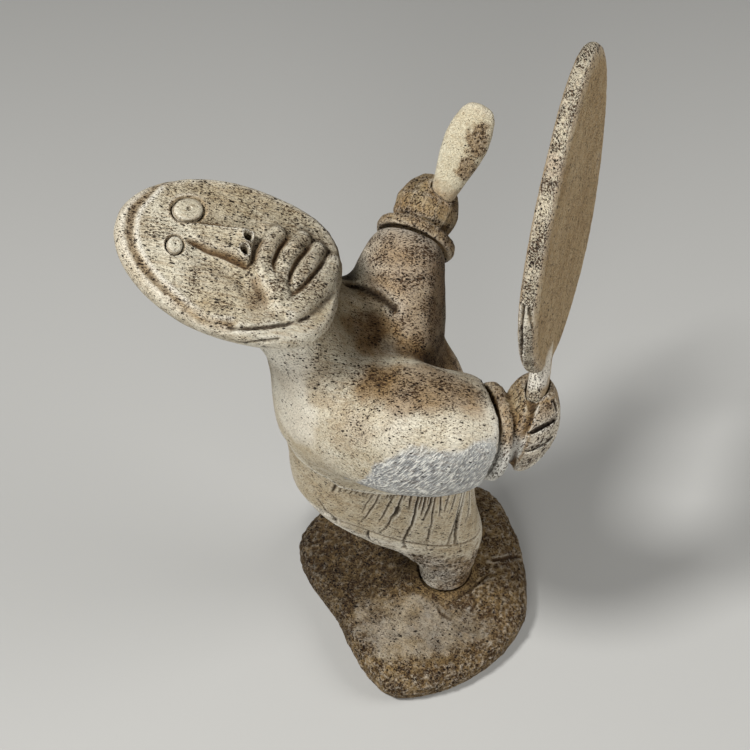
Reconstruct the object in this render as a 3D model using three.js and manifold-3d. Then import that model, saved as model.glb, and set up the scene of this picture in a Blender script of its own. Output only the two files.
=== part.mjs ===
// A drum dancer carved from old whalebone: a parka-clad figure leaning back on a rough bone base,
// its oval face turned to the sky, a drum in the right fist and a beater in the left.
//
// Millimetres, +Z up. The origin is the middle of the base's underside. +X is the way the figure faces
// and +Y is its left. The figure with its head and sleeves is one carved piece. The base, the two hands
// with their cuffs, the drum, the beater and the two eye discs are pieces of their own.

import * as THREE from "three";
import { mergeVertices } from "three/addons/utils/BufferGeometryUtils.js";
import Module from "manifold-3d";

const wasm = await Module();
wasm.setup();

const V = (x, y, z) => new THREE.Vector3(x, y, z);
const UP = V(0, 0, 1);

// Driving dimensions
const FIT_GAP = 0.4; // air left between two pieces that touch
const BASE_HEIGHT = 30;
const BODY_MIDDLE = 8; // where the body's middle plane lies in Y
const HEAD_LENGTH = 147.5; // crown to chin
const HEAD_WIDTH = 107;
const HEAD_THICKNESS = 44;
const HEAD_MIDDLE_P = -3.3; // the head's middle, measured from the root of the nose
const HEAD_MIDDLE_Q = 6.6;
const DRUM_LENGTH = 208; // along the handle's line
const DRUM_WIDTH = 176;
const DRUM_THICKNESS = 12.5;
const BEATER_LENGTH = 83;
const CUFF_TUBE = 4.5; // half the thickness of a cuff's roll

// Places
const FACE_CENTRE = V(-113.2, 3, 397.4);
const FACE_NORMAL = V(0.4006, -0.2504, 0.8814).normalize();
const CROWN_TO_CHIN = V(0.9092, -0.0107, -0.4163);
const RIGHT_CUFF = V(46, -31.5, 258.4);
const RIGHT_ARM_LINE = V(0.957, 0.187, -0.222).normalize();
const LEFT_CUFF = V(-3, 85, 324);
const LEFT_ARM_LINE = V(0.39, 0.86, 0.33).normalize();
const LEFT_FIST = V(8, 110, 338);
const DRUM_HOLE = V(75, -25.5, 299); // where the handle enters the right fist
const DRUM_LINE = V(0.1, 0.45, 0.886).normalize();
const DRUM_FACE_NORMAL = V(0.94, -0.32, 0.06).normalize();
const BEATER_FOOT = V(10.5, 98.5, 338);
const BEATER_LINE = V(0.35, 0.24, 0.9).normalize();

// Finishes
const PALE_BONE = { color: 0xcfc8b2, roughness: 0.75, metalness: 0 };
const WARM_BONE = { color: 0xb59c76, roughness: 0.8, metalness: 0 };
const SPONGY_BONE = { color: 0x7f6b4e, roughness: 0.9, metalness: 0 };
const EYE_BONE = { color: 0xe2dcc8, roughness: 0.5, metalness: 0 };

// A closed geometry as a solid that can be joined and cut.
function solid(geometry) {
  const bare = geometry.index ? geometry.clone() : geometry;
  bare.deleteAttribute("normal");
  bare.deleteAttribute("uv");
  const merged = mergeVertices(bare, 1e-4);
  const build = (triVerts) =>
    new wasm.Manifold(
      new wasm.Mesh({ numProp: 3, vertProperties: merged.attributes.position.array, triVerts }),
    );
  const corners = new Uint32Array(merged.index.array);
  const made = build(corners);
  return made.volume() > 0 ? made : build(corners.reverse());
}

function join(parts) {
  return parts.reduce((whole, part) => whole.add(part));
}

// The largest body of a shape: crumbs that a cut leaves are dropped.
function largest(shape) {
  return shape.decompose().reduce((best, part) => (part.volume() > best.volume() ? part : best));
}

function mesh(name, shape, finish) {
  const made = largest(shape).getMesh();
  const geometry = new THREE.BufferGeometry();
  const count = made.numProp;
  const points = new Float32Array(made.numVert * 3);
  for (let i = 0; i < made.numVert; i++) {
    points.set(made.vertProperties.subarray(i * count, i * count + 3), i * 3);
  }
  geometry.setAttribute("position", new THREE.BufferAttribute(points, 3));
  geometry.setIndex(new THREE.BufferAttribute(made.triVerts, 1));
  geometry.computeVertexNormals();
  const piece = new THREE.Mesh(geometry, new THREE.MeshStandardMaterial(finish));
  piece.name = name;
  return piece;
}

// Moves every vertex of a geometry to where place(x, y, z) says.
function shaped(geometry, place) {
  const position = geometry.attributes.position;
  for (let i = 0; i < position.count; i++) {
    const p = place(position.getX(i), position.getY(i), position.getZ(i));
    position.setXYZ(i, p.x, p.y, p.z);
  }
  return geometry;
}

// A smooth run of numbers through evenly spaced values.
function smooth(values) {
  const curve = new THREE.CatmullRomCurve3(values.map((v) => V(v, 0, 0)));
  return (t) => curve.getPoint(THREE.MathUtils.clamp(t, 0, 1)).x;
}

// Two directions across a line: the first as near to "wide" as it can be, the second square to both.
function across(line, wide) {
  const first = wide.clone().addScaledVector(line, -wide.dot(line)).normalize();
  return [first, line.clone().cross(first).normalize()];
}

// A rounded form along a line of points, with half sizes that change along it. "round" near 0 gives
// flat ends with a small rounding, and 1 gives ends as round as an egg's.
function limb({ line, wide, halfWide, halfDeep, around = 20, along = 12, round = 1, square = 2, grow = 0 }) {
  const curve = new THREE.CatmullRomCurve3(line);
  const a = smooth(halfWide);
  const b = smooth(halfDeep);
  return solid(
    shaped(new THREE.SphereGeometry(1, around, along), (x, y, z) => {
      const t = (1 - y) / 2;
      const ring = Math.hypot(x, z);
      const onEnd = ring < 1e-6;
      const swell = onEnd ? 0 : (Math.pow(ring, round) / ring) * squared(x / ring, z / ring, square);
      const tangent = curve.getTangent(t);
      const [first, second] = across(tangent, wide);
      return curve
        .getPoint(t)
        .addScaledVector(second, x * swell * (b(t) + grow))
        .addScaledVector(first, z * swell * (a(t) + grow))
        .addScaledVector(tangent, -y * grow);
    }),
  );
}

// How far out a squared-off circle lies in a direction: power 2 is a circle.
function squared(x, z, power) {
  return 1 / Math.pow(Math.pow(Math.abs(x), power) + Math.pow(Math.abs(z), power), 1 / power);
}

// Body: sections from the foot up to the nape. Each is [x, z, half depth, half width, forward tilt in
// degrees].
const BODY_SECTIONS = [
  [25, 27, 21, 25, 0],
  [26, 46, 23, 27, 4],
  [15, 76, 38, 32, 17],
  [-20, 118, 71, 37, 22],
  [-25, 157, 69, 41, 15],
  [-28, 197, 67, 44, 8],
  [-30, 233, 68, 47, 4],
  [-37, 270, 61, 48, 10],
  [-57, 302, 46, 44, 20],
  [-78, 328, 34, 36, 16],
  [-101, 363, 20, 24, 0],
];
const SECTION_STEP = 1 / (BODY_SECTIONS.length - 1);
const HEM = 3 * SECTION_STEP;
const PARKA_EDGE = 4.9 * SECTION_STEP;
const PARKA_STEP = 3.5; // how far the parka stands out over the skirt
const bodyLine = [0, 1, 2, 3, 4].map((column) => smooth(BODY_SECTIONS.map((s) => s[column])));

// A point of the body's skin at a share t from foot to nape and an angle from the front, lifted outwards.
function bodySkin(t, angle, lift = 0) {
  const [x, z, depth, width, tilt] = bodyLine.map((value) => value(t));
  const full = squared(Math.cos(angle), Math.sin(angle), 2.3);
  const forward = (depth * full + lift) * Math.cos(angle);
  const sideways = (width * full + lift) * Math.sin(angle);
  const drop = Math.tan(THREE.MathUtils.degToRad(tilt)) * forward;
  return V(x + forward, BODY_MIDDLE + sideways, z - drop);
}

// Balls strung along a limb's line between two shares of it. They stand for the limb where the body
// flows into it.
function beads({ line, radii, from = 0, to = 1, count = 16 }) {
  const curve = new THREE.CatmullRomCurve3(line);
  const radius = smooth(radii);
  return Array.from({ length: count }, (_, i) => {
    const t = THREE.MathUtils.lerp(from, to, i / (count - 1));
    return { centre: curve.getPoint(t), radius: radius(t) };
  });
}

const FLOW = 32; // how wide the hollow is where the body flows into a sleeve or the head
const FLOW_REACH = 36; // the farthest the body swells to meet them
const FLOW_STEP = 2;
const FLOW_DEEP = 22; // skin this deep inside a limb is hidden, and swells no farther

// How far a place lies outside the body and its limbs, with the hollows between them filled.
function outside(p, swell, limbs) {
  const blended = limbs.map((chain) => {
    const gap = Math.min(...chain.map(({ centre, radius }) => p.distanceTo(centre) - radius));
    if (gap < -FLOW_DEEP) return FLOW_DEEP;
    const near = Math.max(FLOW - Math.abs(gap - swell), 0) / FLOW;
    return Math.min(gap, swell) - (near * near * FLOW) / 4;
  });
  return blended.includes(FLOW_DEEP) ? FLOW_DEEP : Math.min(...blended);
}

// How far the skin swells at a place to meet the limbs near it.
function flow(t, angle, lift, limbs) {
  const at = (swell) => outside(bodySkin(t, angle, lift + swell), swell, limbs);
  let before = at(0);
  if (before >= 0) return 0;
  for (let swell = FLOW_STEP; swell < FLOW_REACH; swell += FLOW_STEP) {
    const now = at(swell);
    if (now >= 0) return swell - (FLOW_STEP * now) / (now - before);
    before = now;
  }
  return FLOW_REACH;
}

// The body between two shares of its height, as one closed form.
function bodyPart({ from = 0, to = 1, lift = 0, foot = 0, limbs = [], around = 30, along = 8 }) {
  return solid(
    shaped(new THREE.CylinderGeometry(1, 1, 1, around, along), (x, y, z) => {
      const t = THREE.MathUtils.lerp(from, to, 0.5 + y);
      const angle = Math.atan2(z, -x);
      const onAxis = Math.hypot(x, z) < 1e-6;
      const swell = onAxis || limbs.length === 0 ? 0 : flow(t, angle, lift, limbs);
      const [middleX, middleZ] = bodyLine.map((value) => value(t));
      const point = onAxis ? V(middleX, BODY_MIDDLE, middleZ) : bodySkin(t, angle, lift + swell);
      return y > -0.49 ? point : point.setZ(point.z - foot);
    }),
  );
}

// A thin wedge that follows the skirt's skin downwards, for one cut between two tassels of the fringe.
function fringeCut(angle, top, bottom, halfAngle, depth) {
  return solid(
    shaped(new THREE.CylinderGeometry(1, 1, 1, 3, 2), (x, y, z) => {
      const t = THREE.MathUtils.lerp(bottom, top, 0.5 + y);
      const ring = Math.hypot(x, z);
      if (ring < 1e-6) return bodySkin(t, angle, 0);
      const tip = z > 0.9;
      const fade = THREE.MathUtils.lerp(0.15, 1, 0.5 + y);
      return bodySkin(t, angle + (tip ? 0 : Math.sign(x) * halfAngle), tip ? -depth * fade : 1.5);
    }),
  );
}

// Head frame: p runs from crown to chin, q to the figure's right, h out of the face.
const [FACE_P] = across(FACE_NORMAL, CROWN_TO_CHIN);
const FACE_Q = FACE_P.clone().cross(FACE_NORMAL).normalize();

function onFace(p, q, h) {
  return FACE_CENTRE.clone()
    .addScaledVector(FACE_P, p)
    .addScaledVector(FACE_Q, q)
    .addScaledVector(FACE_NORMAL, h);
}

const FACE_CROWN = 3; // how far the middle of the face stands above its edge
function faceHeight(p, q) {
  const share = Math.hypot((p - HEAD_MIDDLE_P) / (HEAD_LENGTH / 2), (q - HEAD_MIDDLE_Q) / (HEAD_WIDTH / 2));
  return FACE_CROWN * Math.max(0, 1 - share * share);
}

// The head: an oval cake of bone with a nearly flat face, an upright edge and a rounded back.
function headPlate() {
  const profile = [
    [0, -1],
    [0.4, -0.94],
    [0.66, -0.78],
    [0.84, -0.57],
    [0.94, -0.38],
    [0.985, -0.22],
    [1, -0.1],
    [0.98, -0.025],
    [0.945, 0],
    [0.7, 0],
    [0.35, 0],
    [0, 0],
  ];
  const lathe = new THREE.LatheGeometry(
    profile.map(([r, h]) => new THREE.Vector2(r, h)),
    36,
  );
  return solid(
    shaped(lathe, (x, h, z) => {
      const ring = Math.hypot(x, z);
      const chinward = ring < 1e-6 ? 0 : Math.max(0, x / ring);
      const full = ring < 1e-6 ? 1 : squared(x / ring, z / ring, 2 + 0.8 * chinward);
      const p = HEAD_MIDDLE_P + (x * full * HEAD_LENGTH) / 2;
      const q = HEAD_MIDDLE_Q + (z * full * (1 + 0.07 * x) * HEAD_WIDTH) / 2;
      return onFace(p, q, h * HEAD_THICKNESS + (h < 0 ? 0 : faceHeight(p, q)));
    }),
  );
}

// A rounded bar on the face along points given as [p, q], its middle line lifted by "rise".
function faceBar({ line, wide, high, rise, around = 10, along = 6, round = 0.4 }) {
  return limb({
    line: line.map(([p, q]) => onFace(p, q, faceHeight(p, q) + rise)),
    wide: FACE_NORMAL,
    halfWide: high,
    halfDeep: wide,
    around,
    along,
    round,
  });
}

// The cut line just inside the hood's edge, on the side of the head away from the drum.
const HOOD_LINE = {
  line: [[-65, 6], [-60, 19], [-51, 33], [-39, 43], [-27, 49], [-13, 52], [3, 51], [19, 47], [51, 31]],
  wide: [1, 2, 2.2, 2, 1],
  high: [2.6, 3.4, 3.4, 3, 2],
  rise: 0.8,
  around: 6,
  along: 13,
};

function nose() {
  return limb({
    line: [onFace(-40, 2.5, 0), onFace(-16, 3, 0.5), onFace(8, 4, 0)],
    wide: FACE_NORMAL,
    halfWide: [3, 7.5, 10.5],
    halfDeep: [5.5, 9.5, 16],
    around: 12,
    along: 8,
    round: 0.3,
    square: 3,
  });
}

const NOSTRILS = [
  [1.9, -3.8],
  [1, 6.8],
];
function nostril([p, q]) {
  return limb({
    line: [onFace(p, q, 13), onFace(p, q, 5)],
    wide: FACE_Q,
    halfWide: [3, 2.4],
    halfDeep: [3, 2.4],
    around: 8,
    along: 4,
    round: 0.5,
  });
}

// The muzzle is a low swelling below the nose. The lips are four bars that fan out over it.
const MUZZLE = {
  line: [[4, 17], [20, 12], [35, 6], [60, 0]],
  wide: [8, 25, 28, 14],
  high: [8, 10, 10, 5],
  rise: -3.5,
  around: 16,
  along: 9,
  round: 0.4,
};
const LIPS = [
  {
    line: [[20, -20], [13.5, -3], [10.5, 11], [18, 26]],
    wide: [5, 6, 6.8, 9],
    high: [5, 7, 8, 8],
    rise: 1,
  },
  {
    line: [[35, -21], [28.5, -5], [27, 12]],
    wide: [5, 6, 6],
    high: [5, 7.5, 7.5],
    rise: 1,
  },
  {
    line: [[48, -15], [41, 0], [38, 13]],
    wide: [4.6, 5.6, 5.4],
    high: [5, 7.5, 7.5],
    rise: 1,
  },
  {
    line: [[59, -8], [53.5, 5], [43.5, 21], [30, 35]],
    wide: [4.4, 6, 6.4, 7],
    high: [5, 7, 7, 6],
    rise: 0,
  },
];

// Eyes: place, half length, half width, turn in degrees and pupil radius of each disc.
const LEFT_EYE = { p: -36, q: -12.5, long: 10.3, wide: 8, turn: -37, pupil: 1.6 };
const RIGHT_EYE = { p: -39.6, q: 14, long: 5, wide: 5.8, turn: 0, pupil: 0.9 };
const EYE_SEAT = 3; // how deep an eye disc is let into the face
const EYE_STAND = 2.2; // how far it stands out of it

function eyeDisc(eye, grow, bottom, top, bevel, around = 18) {
  const turn = THREE.MathUtils.degToRad(eye.turn);
  const height = faceHeight(eye.p, eye.q);
  const disc = new THREE.CylinderGeometry(1 - bevel, 1, 1, around, 1);
  return solid(
    shaped(disc, (x, y, z) => {
      const along = x * (eye.long + grow);
      const aside = z * (eye.wide + grow);
      return onFace(
        eye.p + along * Math.cos(turn) - aside * Math.sin(turn),
        eye.q + along * Math.sin(turn) + aside * Math.cos(turn),
        height + THREE.MathUtils.lerp(bottom, top, 0.5 + y),
      );
    }),
  );
}

function eyePiece(eye) {
  const pupil = { ...eye, long: eye.pupil, wide: eye.pupil };
  return eyeDisc(eye, 0, -EYE_SEAT, EYE_STAND, 0.1).subtract(eyeDisc(pupil, 0, 0.6, EYE_STAND + 1, -0.1, 8));
}

function eyeSocket(eye) {
  return eyeDisc(eye, FIT_GAP, -EYE_SEAT - FIT_GAP, 8, -0.06);
}

// Sleeves: each runs from inside the body to the cuff.
const sleeveEnd = (cuffCentre, line, back = 0) =>
  cuffCentre.clone().addScaledVector(line, -CUFF_TUBE - FIT_GAP - back);
const RIGHT_SLEEVE = {
  line: [
    V(-54, 0, 264),
    V(-35, -22, 266),
    sleeveEnd(RIGHT_CUFF, RIGHT_ARM_LINE, 42),
    sleeveEnd(RIGHT_CUFF, RIGHT_ARM_LINE),
  ],
  wide: UP,
  halfWide: [34, 43, 41, 38],
  halfDeep: [32, 42, 39, 36],
  around: 24,
  along: 9,
  round: 0.1,
  square: 3.2,
};
const LEFT_SLEEVE = {
  line: [
    V(-32, 2, 244),
    V(-25, 26, 268),
    sleeveEnd(LEFT_CUFF, LEFT_ARM_LINE, 22).add(V(1, 0, 0)),
    sleeveEnd(LEFT_CUFF, LEFT_ARM_LINE),
  ],
  wide: UP,
  halfWide: [40, 42, 34, 26],
  halfDeep: [40, 41, 31, 26],
  around: 18,
  along: 10,
  round: 0.07,
  square: 2.6,
};
const HEAD_UNDERSIDE = [onFace(-14, 8, -25), onFace(34, 8, -25)];
const BODY_LIMBS = [
  beads({ line: RIGHT_SLEEVE.line, radii: RIGHT_SLEEVE.halfDeep, from: 0.3, to: 0.64 }),
  beads({ line: LEFT_SLEEVE.line, radii: LEFT_SLEEVE.halfDeep, from: 0.3, to: 0.75 }),
  beads({ line: HEAD_UNDERSIDE, radii: [18, 16] }),
];

const FRINGE = {
  from: 14,
  to: 110,
  cuts: 11,
  bottom: HEM + 0.03,
  top: PARKA_EDGE + 0.01,
  halfAngle: 0.025,
  depth: 2.6,
};

function fringe() {
  const cuts = [];
  for (let i = 0; i < FRINGE.cuts; i++) {
    const degrees = THREE.MathUtils.lerp(FRINGE.from, FRINGE.to, i / (FRINGE.cuts - 1));
    const angle = THREE.MathUtils.degToRad(degrees);
    const farSide = i % 2 === 0 ? [angle] : []; // the far side is cut more sparsely
    for (const place of [-angle, ...farSide]) {
      cuts.push(fringeCut(place, FRINGE.top, FRINGE.bottom, FRINGE.halfAngle, FRINGE.depth));
    }
  }
  return cuts;
}

function figure() {
  const carved = join([
    bodyPart({ to: PARKA_EDGE + 0.06 }).subtract(join(fringe())),
    bodyPart({ from: PARKA_EDGE, lift: PARKA_STEP, limbs: BODY_LIMBS, around: 35, along: 12 }),
    headPlate(),
    limb(RIGHT_SLEEVE),
    limb(LEFT_SLEEVE),
    nose(),
    faceBar(MUZZLE),
    ...LIPS.map(faceBar),
  ]);
  return carved.subtract(
    join([
      faceBar(HOOD_LINE),
      ...[LEFT_EYE, RIGHT_EYE].map(eyeSocket),
      ...NOSTRILS.map(nostril),
      rightCuff(FIT_GAP),
      leftCuff(FIT_GAP),
    ]),
  );
}

// Base: a slab of spongy bone. Its outline is the distance from the middle at each compass step.
const BASE_OUTLINE = [
  [95, 5],
  [90, 42],
  [70, 90],
  [30, 104],
  [-30, 100],
  [-74, 76],
  [-96, 40],
  [-90, 10],
  [-63, -32],
  [-46, -70],
  [-20, -99],
  [18, -96],
  [62, -72],
  [90, -36],
];
const baseRim = new THREE.CatmullRomCurve3(
  BASE_OUTLINE.map(([x, y]) => V(x, y, 0)),
  true,
);

function baseSlab() {
  const profile = [
    [0, 0],
    [0.93, 0],
    [0.985, 0.15],
    [1, 0.4],
    [0.985, 0.66],
    [0.93, 0.87],
    [0.82, 0.97],
    [0.66, 1],
    [0.36, 1],
    [0, 1],
  ];
  const lathe = new THREE.LatheGeometry(
    profile.map(([r, h]) => new THREE.Vector2(r, h)),
    38,
  );
  return solid(
    shaped(lathe, (x, h, z) => {
      const r = Math.hypot(x, z);
      const turn = (Math.atan2(-z, x) / (2 * Math.PI) + 1) % 1;
      const rim = baseRim.getPoint(turn).multiplyScalar(r);
      const hollow = 5 * Math.exp(-(((rim.x - 25) / 34) ** 2) - ((rim.y + 45) / 22) ** 2);
      const rise = 4 * Math.sin(rim.x / 31) * Math.cos(rim.y / 40);
      const lift = h * (BASE_HEIGHT + (r > 0.9 ? 0 : rise - hollow));
      return V(rim.x, rim.y, lift);
    }),
  );
}

function base() {
  return baseSlab().subtract(bodyPart({ to: 2 * SECTION_STEP, lift: FIT_GAP, foot: FIT_GAP, along: 4 }));
}

// Hands: a rolled cuff, a wrist and a fist.
function cuff(centre, line, halfWide, halfDeep, grow = 0) {
  const [first, second] = across(line, UP);
  const profile = [
    [0, -0.7],
    [0.8, -0.7],
    [0.9, -1],
    [0.965, -0.85],
    [1, -0.3],
    [1, 0.3],
    [0.965, 0.85],
    [0.9, 1],
    [0.8, 0.7],
    [0, 0.7],
  ];
  const disc = new THREE.LatheGeometry(
    profile.map(([r, h]) => new THREE.Vector2(r, h)),
    22,
  );
  return solid(
    shaped(disc, (x, h, z) =>
      centre
        .clone()
        .addScaledVector(first, x * (halfWide + grow))
        .addScaledVector(second, -z * (halfDeep + grow))
        .addScaledVector(line, h * (CUFF_TUBE + 2 * grow)),
    ),
  );
}

const rightCuff = (grow) => cuff(RIGHT_CUFF, RIGHT_ARM_LINE, 34.5, 33, grow);
const leftCuff = (grow) => cuff(LEFT_CUFF, LEFT_ARM_LINE, 28, 29, grow);

// The right fist is one rounded block, and three slanting cuts part its fingers.
const RIGHT_FIST = {
  line: [V(75.5, -24, 301), V(71, -30, 268), V(63.5, -36, 231)],
  wide: RIGHT_ARM_LINE,
  halfWide: [15, 20, 13],
  halfDeep: [18, 22, 17],
  around: 16,
  along: 10,
  round: 0.3,
  square: 2.3,
};
const FINGER_CUTS = [
  [V(91, -36, 284), V(82, -46, 284), V(70, -50, 279)],
  [V(92, -38, 271), V(82.5, -49, 271), V(68, -51.5, 263)],
  [V(88, -40, 256), V(77, -49.5, 248), V(66, -49, 241)],
];

function fingerCut(line) {
  return limb({
    line,
    wide: UP,
    halfWide: [1.8, 2.4, 1.8],
    halfDeep: [4, 5, 3.5],
    around: 6,
    along: 7,
    round: 0.3,
  });
}

function rightHand() {
  const wrist = limb({
    line: [RIGHT_CUFF, RIGHT_CUFF.clone().addScaledVector(RIGHT_ARM_LINE, 10), V(74, -29, 262)],
    wide: UP,
    halfWide: [26, 26, 26],
    halfDeep: [24, 22, 18],
    around: 12,
    along: 4,
    round: 0.12,
  });
  return join([rightCuff(), wrist, limb(RIGHT_FIST)]).subtract(join(FINGER_CUTS.map(fingerCut)));
}

function leftHand() {
  const palm = limb({
    line: [
      LEFT_CUFF,
      LEFT_CUFF.clone().addScaledVector(LEFT_ARM_LINE, 8),
      LEFT_FIST.clone().addScaledVector(LEFT_ARM_LINE, -8),
      LEFT_FIST.clone().addScaledVector(LEFT_ARM_LINE, 15),
    ],
    wide: UP,
    halfWide: [15, 20, 23, 19],
    halfDeep: [16, 20, 24, 20],
    around: 15,
    along: 8,
    round: 0.45,
  });
  return join([leftCuff(), palm]);
}

// Drum: a flat egg-shaped plate that narrows to a short flat handle.
const [DRUM_FACE] = across(DRUM_LINE, DRUM_FACE_NORMAL);
const DRUM_SIDE = DRUM_LINE.clone().cross(DRUM_FACE).normalize();
const DRUM_NECK = 14; // bare handle between the fist and the plate

function drum(grow = 0) {
  const centre = DRUM_HOLE.clone().addScaledVector(DRUM_LINE, DRUM_NECK + DRUM_LENGTH / 2);
  const plate = new THREE.LatheGeometry(
    [
      [0, -0.5],
      [0.94, -0.5],
      [0.985, -0.34],
      [1, 0],
      [0.985, 0.34],
      [0.94, 0.5],
      [0, 0.5],
    ].map(([r, h]) => new THREE.Vector2(r, h)),
    38,
  );
  const disc = solid(
    shaped(plate, (x, h, z) => {
      const wide = 1 - 0.2 * x - 0.25 * Math.max(0, -x - 0.5);
      return centre
        .clone()
        .addScaledVector(DRUM_LINE, (x * DRUM_LENGTH) / 2)
        .addScaledVector(DRUM_SIDE, ((-z * DRUM_WIDTH) / 2) * wide)
        .addScaledVector(DRUM_FACE, h * DRUM_THICKNESS);
    }),
  );
  const handle = limb({
    line: [
      DRUM_HOLE.clone().addScaledVector(DRUM_LINE, -15),
      DRUM_HOLE.clone().addScaledVector(DRUM_LINE, DRUM_NECK + 8),
    ],
    wide: DRUM_FACE,
    halfWide: [7.5, 6],
    halfDeep: [11, 15],
    around: 12,
    along: 5,
    round: 0.08,
    square: 3,
    grow,
  });
  return grow ? handle : disc.add(handle);
}

function beater(grow = 0) {
  return limb({
    line: [BEATER_FOOT, BEATER_FOOT.clone().addScaledVector(BEATER_LINE, BEATER_LENGTH)],
    wide: V(0.95, -0.3, 0),
    halfWide: [9.5, 12, 16.5, 17],
    halfDeep: [7.5, 8, 8.5, 8],
    around: 14,
    along: 10,
    round: 0.55,
    grow,
  });
}

const whole = new THREE.Group();
whole.add(
  mesh("base", base(), SPONGY_BONE),
  mesh("figure", figure(), PALE_BONE),
  mesh("left_eye", eyePiece(LEFT_EYE), EYE_BONE),
  mesh("right_eye", eyePiece(RIGHT_EYE), EYE_BONE),
  mesh("right_hand", rightHand().subtract(drum(FIT_GAP)), WARM_BONE),
  mesh("left_hand", leftHand().subtract(beater(FIT_GAP)), WARM_BONE),
  mesh("drum", drum(), PALE_BONE),
  mesh("beater", beater(), PALE_BONE),
);

export default whole;
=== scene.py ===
"""Looks of a whalebone drum dancer: carved surfaces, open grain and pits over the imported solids.

Points and sizes are in millimetres in the CAD's frame until a piece is written back, in metres.
"""

import itertools
import math
from types import SimpleNamespace

import bmesh
import bpy
import numpy as np
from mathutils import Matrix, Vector


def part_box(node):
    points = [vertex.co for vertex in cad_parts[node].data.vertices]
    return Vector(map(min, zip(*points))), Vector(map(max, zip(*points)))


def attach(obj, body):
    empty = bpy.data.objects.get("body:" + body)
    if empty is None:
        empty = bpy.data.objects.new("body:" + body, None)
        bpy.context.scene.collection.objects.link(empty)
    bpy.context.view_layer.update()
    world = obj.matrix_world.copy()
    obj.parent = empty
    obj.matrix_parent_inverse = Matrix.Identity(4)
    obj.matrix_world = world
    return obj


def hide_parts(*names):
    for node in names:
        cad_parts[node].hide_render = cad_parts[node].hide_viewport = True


MM = 0.001
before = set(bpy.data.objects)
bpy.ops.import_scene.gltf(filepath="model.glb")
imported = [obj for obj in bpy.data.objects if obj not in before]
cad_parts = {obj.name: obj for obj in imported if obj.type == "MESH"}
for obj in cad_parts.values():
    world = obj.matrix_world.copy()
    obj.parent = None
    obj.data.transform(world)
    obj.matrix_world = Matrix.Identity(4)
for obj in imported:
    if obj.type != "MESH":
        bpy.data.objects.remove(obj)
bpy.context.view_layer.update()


def point(*xyz):
    return np.array(xyz, float)


def unit(v):
    return v / np.linalg.norm(v)


def unit_rows(rows):
    return rows / np.linalg.norm(rows, axis=1)[:, None]


# The head's own directions: down the face, across it to the figure's right, and out of it.
FACE_CENTRE = point(-113.2, 3, 397.4)
FACE_OUT = unit(point(0.4006, -0.2504, 0.8814))
CROWN_TO_CHIN = point(0.9092, -0.0107, -0.4163)
FACE_DOWN = unit(CROWN_TO_CHIN - FACE_OUT * (CROWN_TO_CHIN @ FACE_OUT))
FACE_ACROSS = unit(np.cross(FACE_DOWN, FACE_OUT))


# Patterns in space


def hashed(cells, seed):
    """A number from 0 to 1 for each whole-number cell, the same in every run."""
    mixed = cells.astype(np.int64) @ np.array([73856093, 19349663, 83492791]) + seed * 2654435761
    for _ in range(2):
        mixed = ((mixed ^ (mixed >> 15)) * 2246822519) & 0x7FFFFFFF
    return ((mixed >> 7) & 0xFFFF) / 65535


def lumps(points, size, seed):
    """Soft lumps about size millimetres across, from -1 to 1."""
    scaled = points / size
    base = np.floor(scaled)
    share = scaled - base
    share = share * share * (3 - 2 * share)
    total = np.zeros(len(points))
    for corner in itertools.product((0, 1), repeat=3):
        weight = np.prod(np.where(corner, share, 1 - share), axis=1)
        total += weight * hashed(base + corner, seed)
    return total * 2 - 1


def rough(points, size, seed, octaves=3):
    """Lumps with finer lumps on them."""
    return sum(lumps(points, size / 2**k, seed + k) / 2**k for k in range(octaves))


def pores(points, spacing, seed, share=0.5, least=0.25, most=0.5):
    """Depth from 0 to 1 of round pores, at most one to a cell of this spacing."""
    scaled = points / spacing
    base = np.floor(scaled)
    depth = np.zeros(len(points))
    for step in itertools.product((-1, 0, 1), repeat=3):
        cell = base + step
        middle = cell + np.stack([hashed(cell, seed + k) for k in (1, 2, 3)], axis=1)
        radius = least + (most - least) * hashed(cell, seed + 4)
        away = np.linalg.norm(scaled - middle, axis=1) / radius
        held = hashed(cell, seed) < share
        depth = np.maximum(depth, np.where(held, np.clip(1 - away**2, 0, 1), 0))
    return depth


def step_up(value, low, high):
    share = np.clip((value - low) / (high - low), 0, 1)
    return share * share * (3 - 2 * share)


def blob(points, middle, reach, ragged=0.0, seed=0):
    """1 at a place and 0 beyond its reach, with a border that wanders when ragged."""
    away = np.linalg.norm((points - np.array(middle)) / np.array(reach), axis=1)
    if ragged:
        away = away + ragged * rough(points, float(np.mean(reach)) * 0.6, seed)
    return 1 - step_up(away, 0.55, 1.05)


def blobs(points, rows, ragged, seed):
    """The strongest of several blobs, each [middle, reach]."""
    each = [blob(points, middle, reach, ragged, seed + i) for i, (middle, reach) in enumerate(rows)]
    return np.max(each, axis=0)


def wandering(line, reach, step):
    """A line cut into short runs that wander a little."""
    line = np.asarray(line, float)
    runs = [line[:1]]
    for a, b in zip(line[:-1], line[1:]):
        count = max(int(np.linalg.norm(b - a) / step), 1)
        runs.append(a + (b - a) * (np.arange(1, count + 1) / count)[:, None])
    line = np.concatenate(runs)
    shift = np.stack([lumps(line, step * 2.2, seed) for seed in (31, 32, 33)], axis=1)
    return line + shift * reach


def face_places(points):
    """Each point's place on the face: down it, across it and out of it."""
    away = points - FACE_CENTRE
    return away @ FACE_DOWN, away @ FACE_ACROSS, away @ FACE_OUT


# Curves and heights


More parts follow.
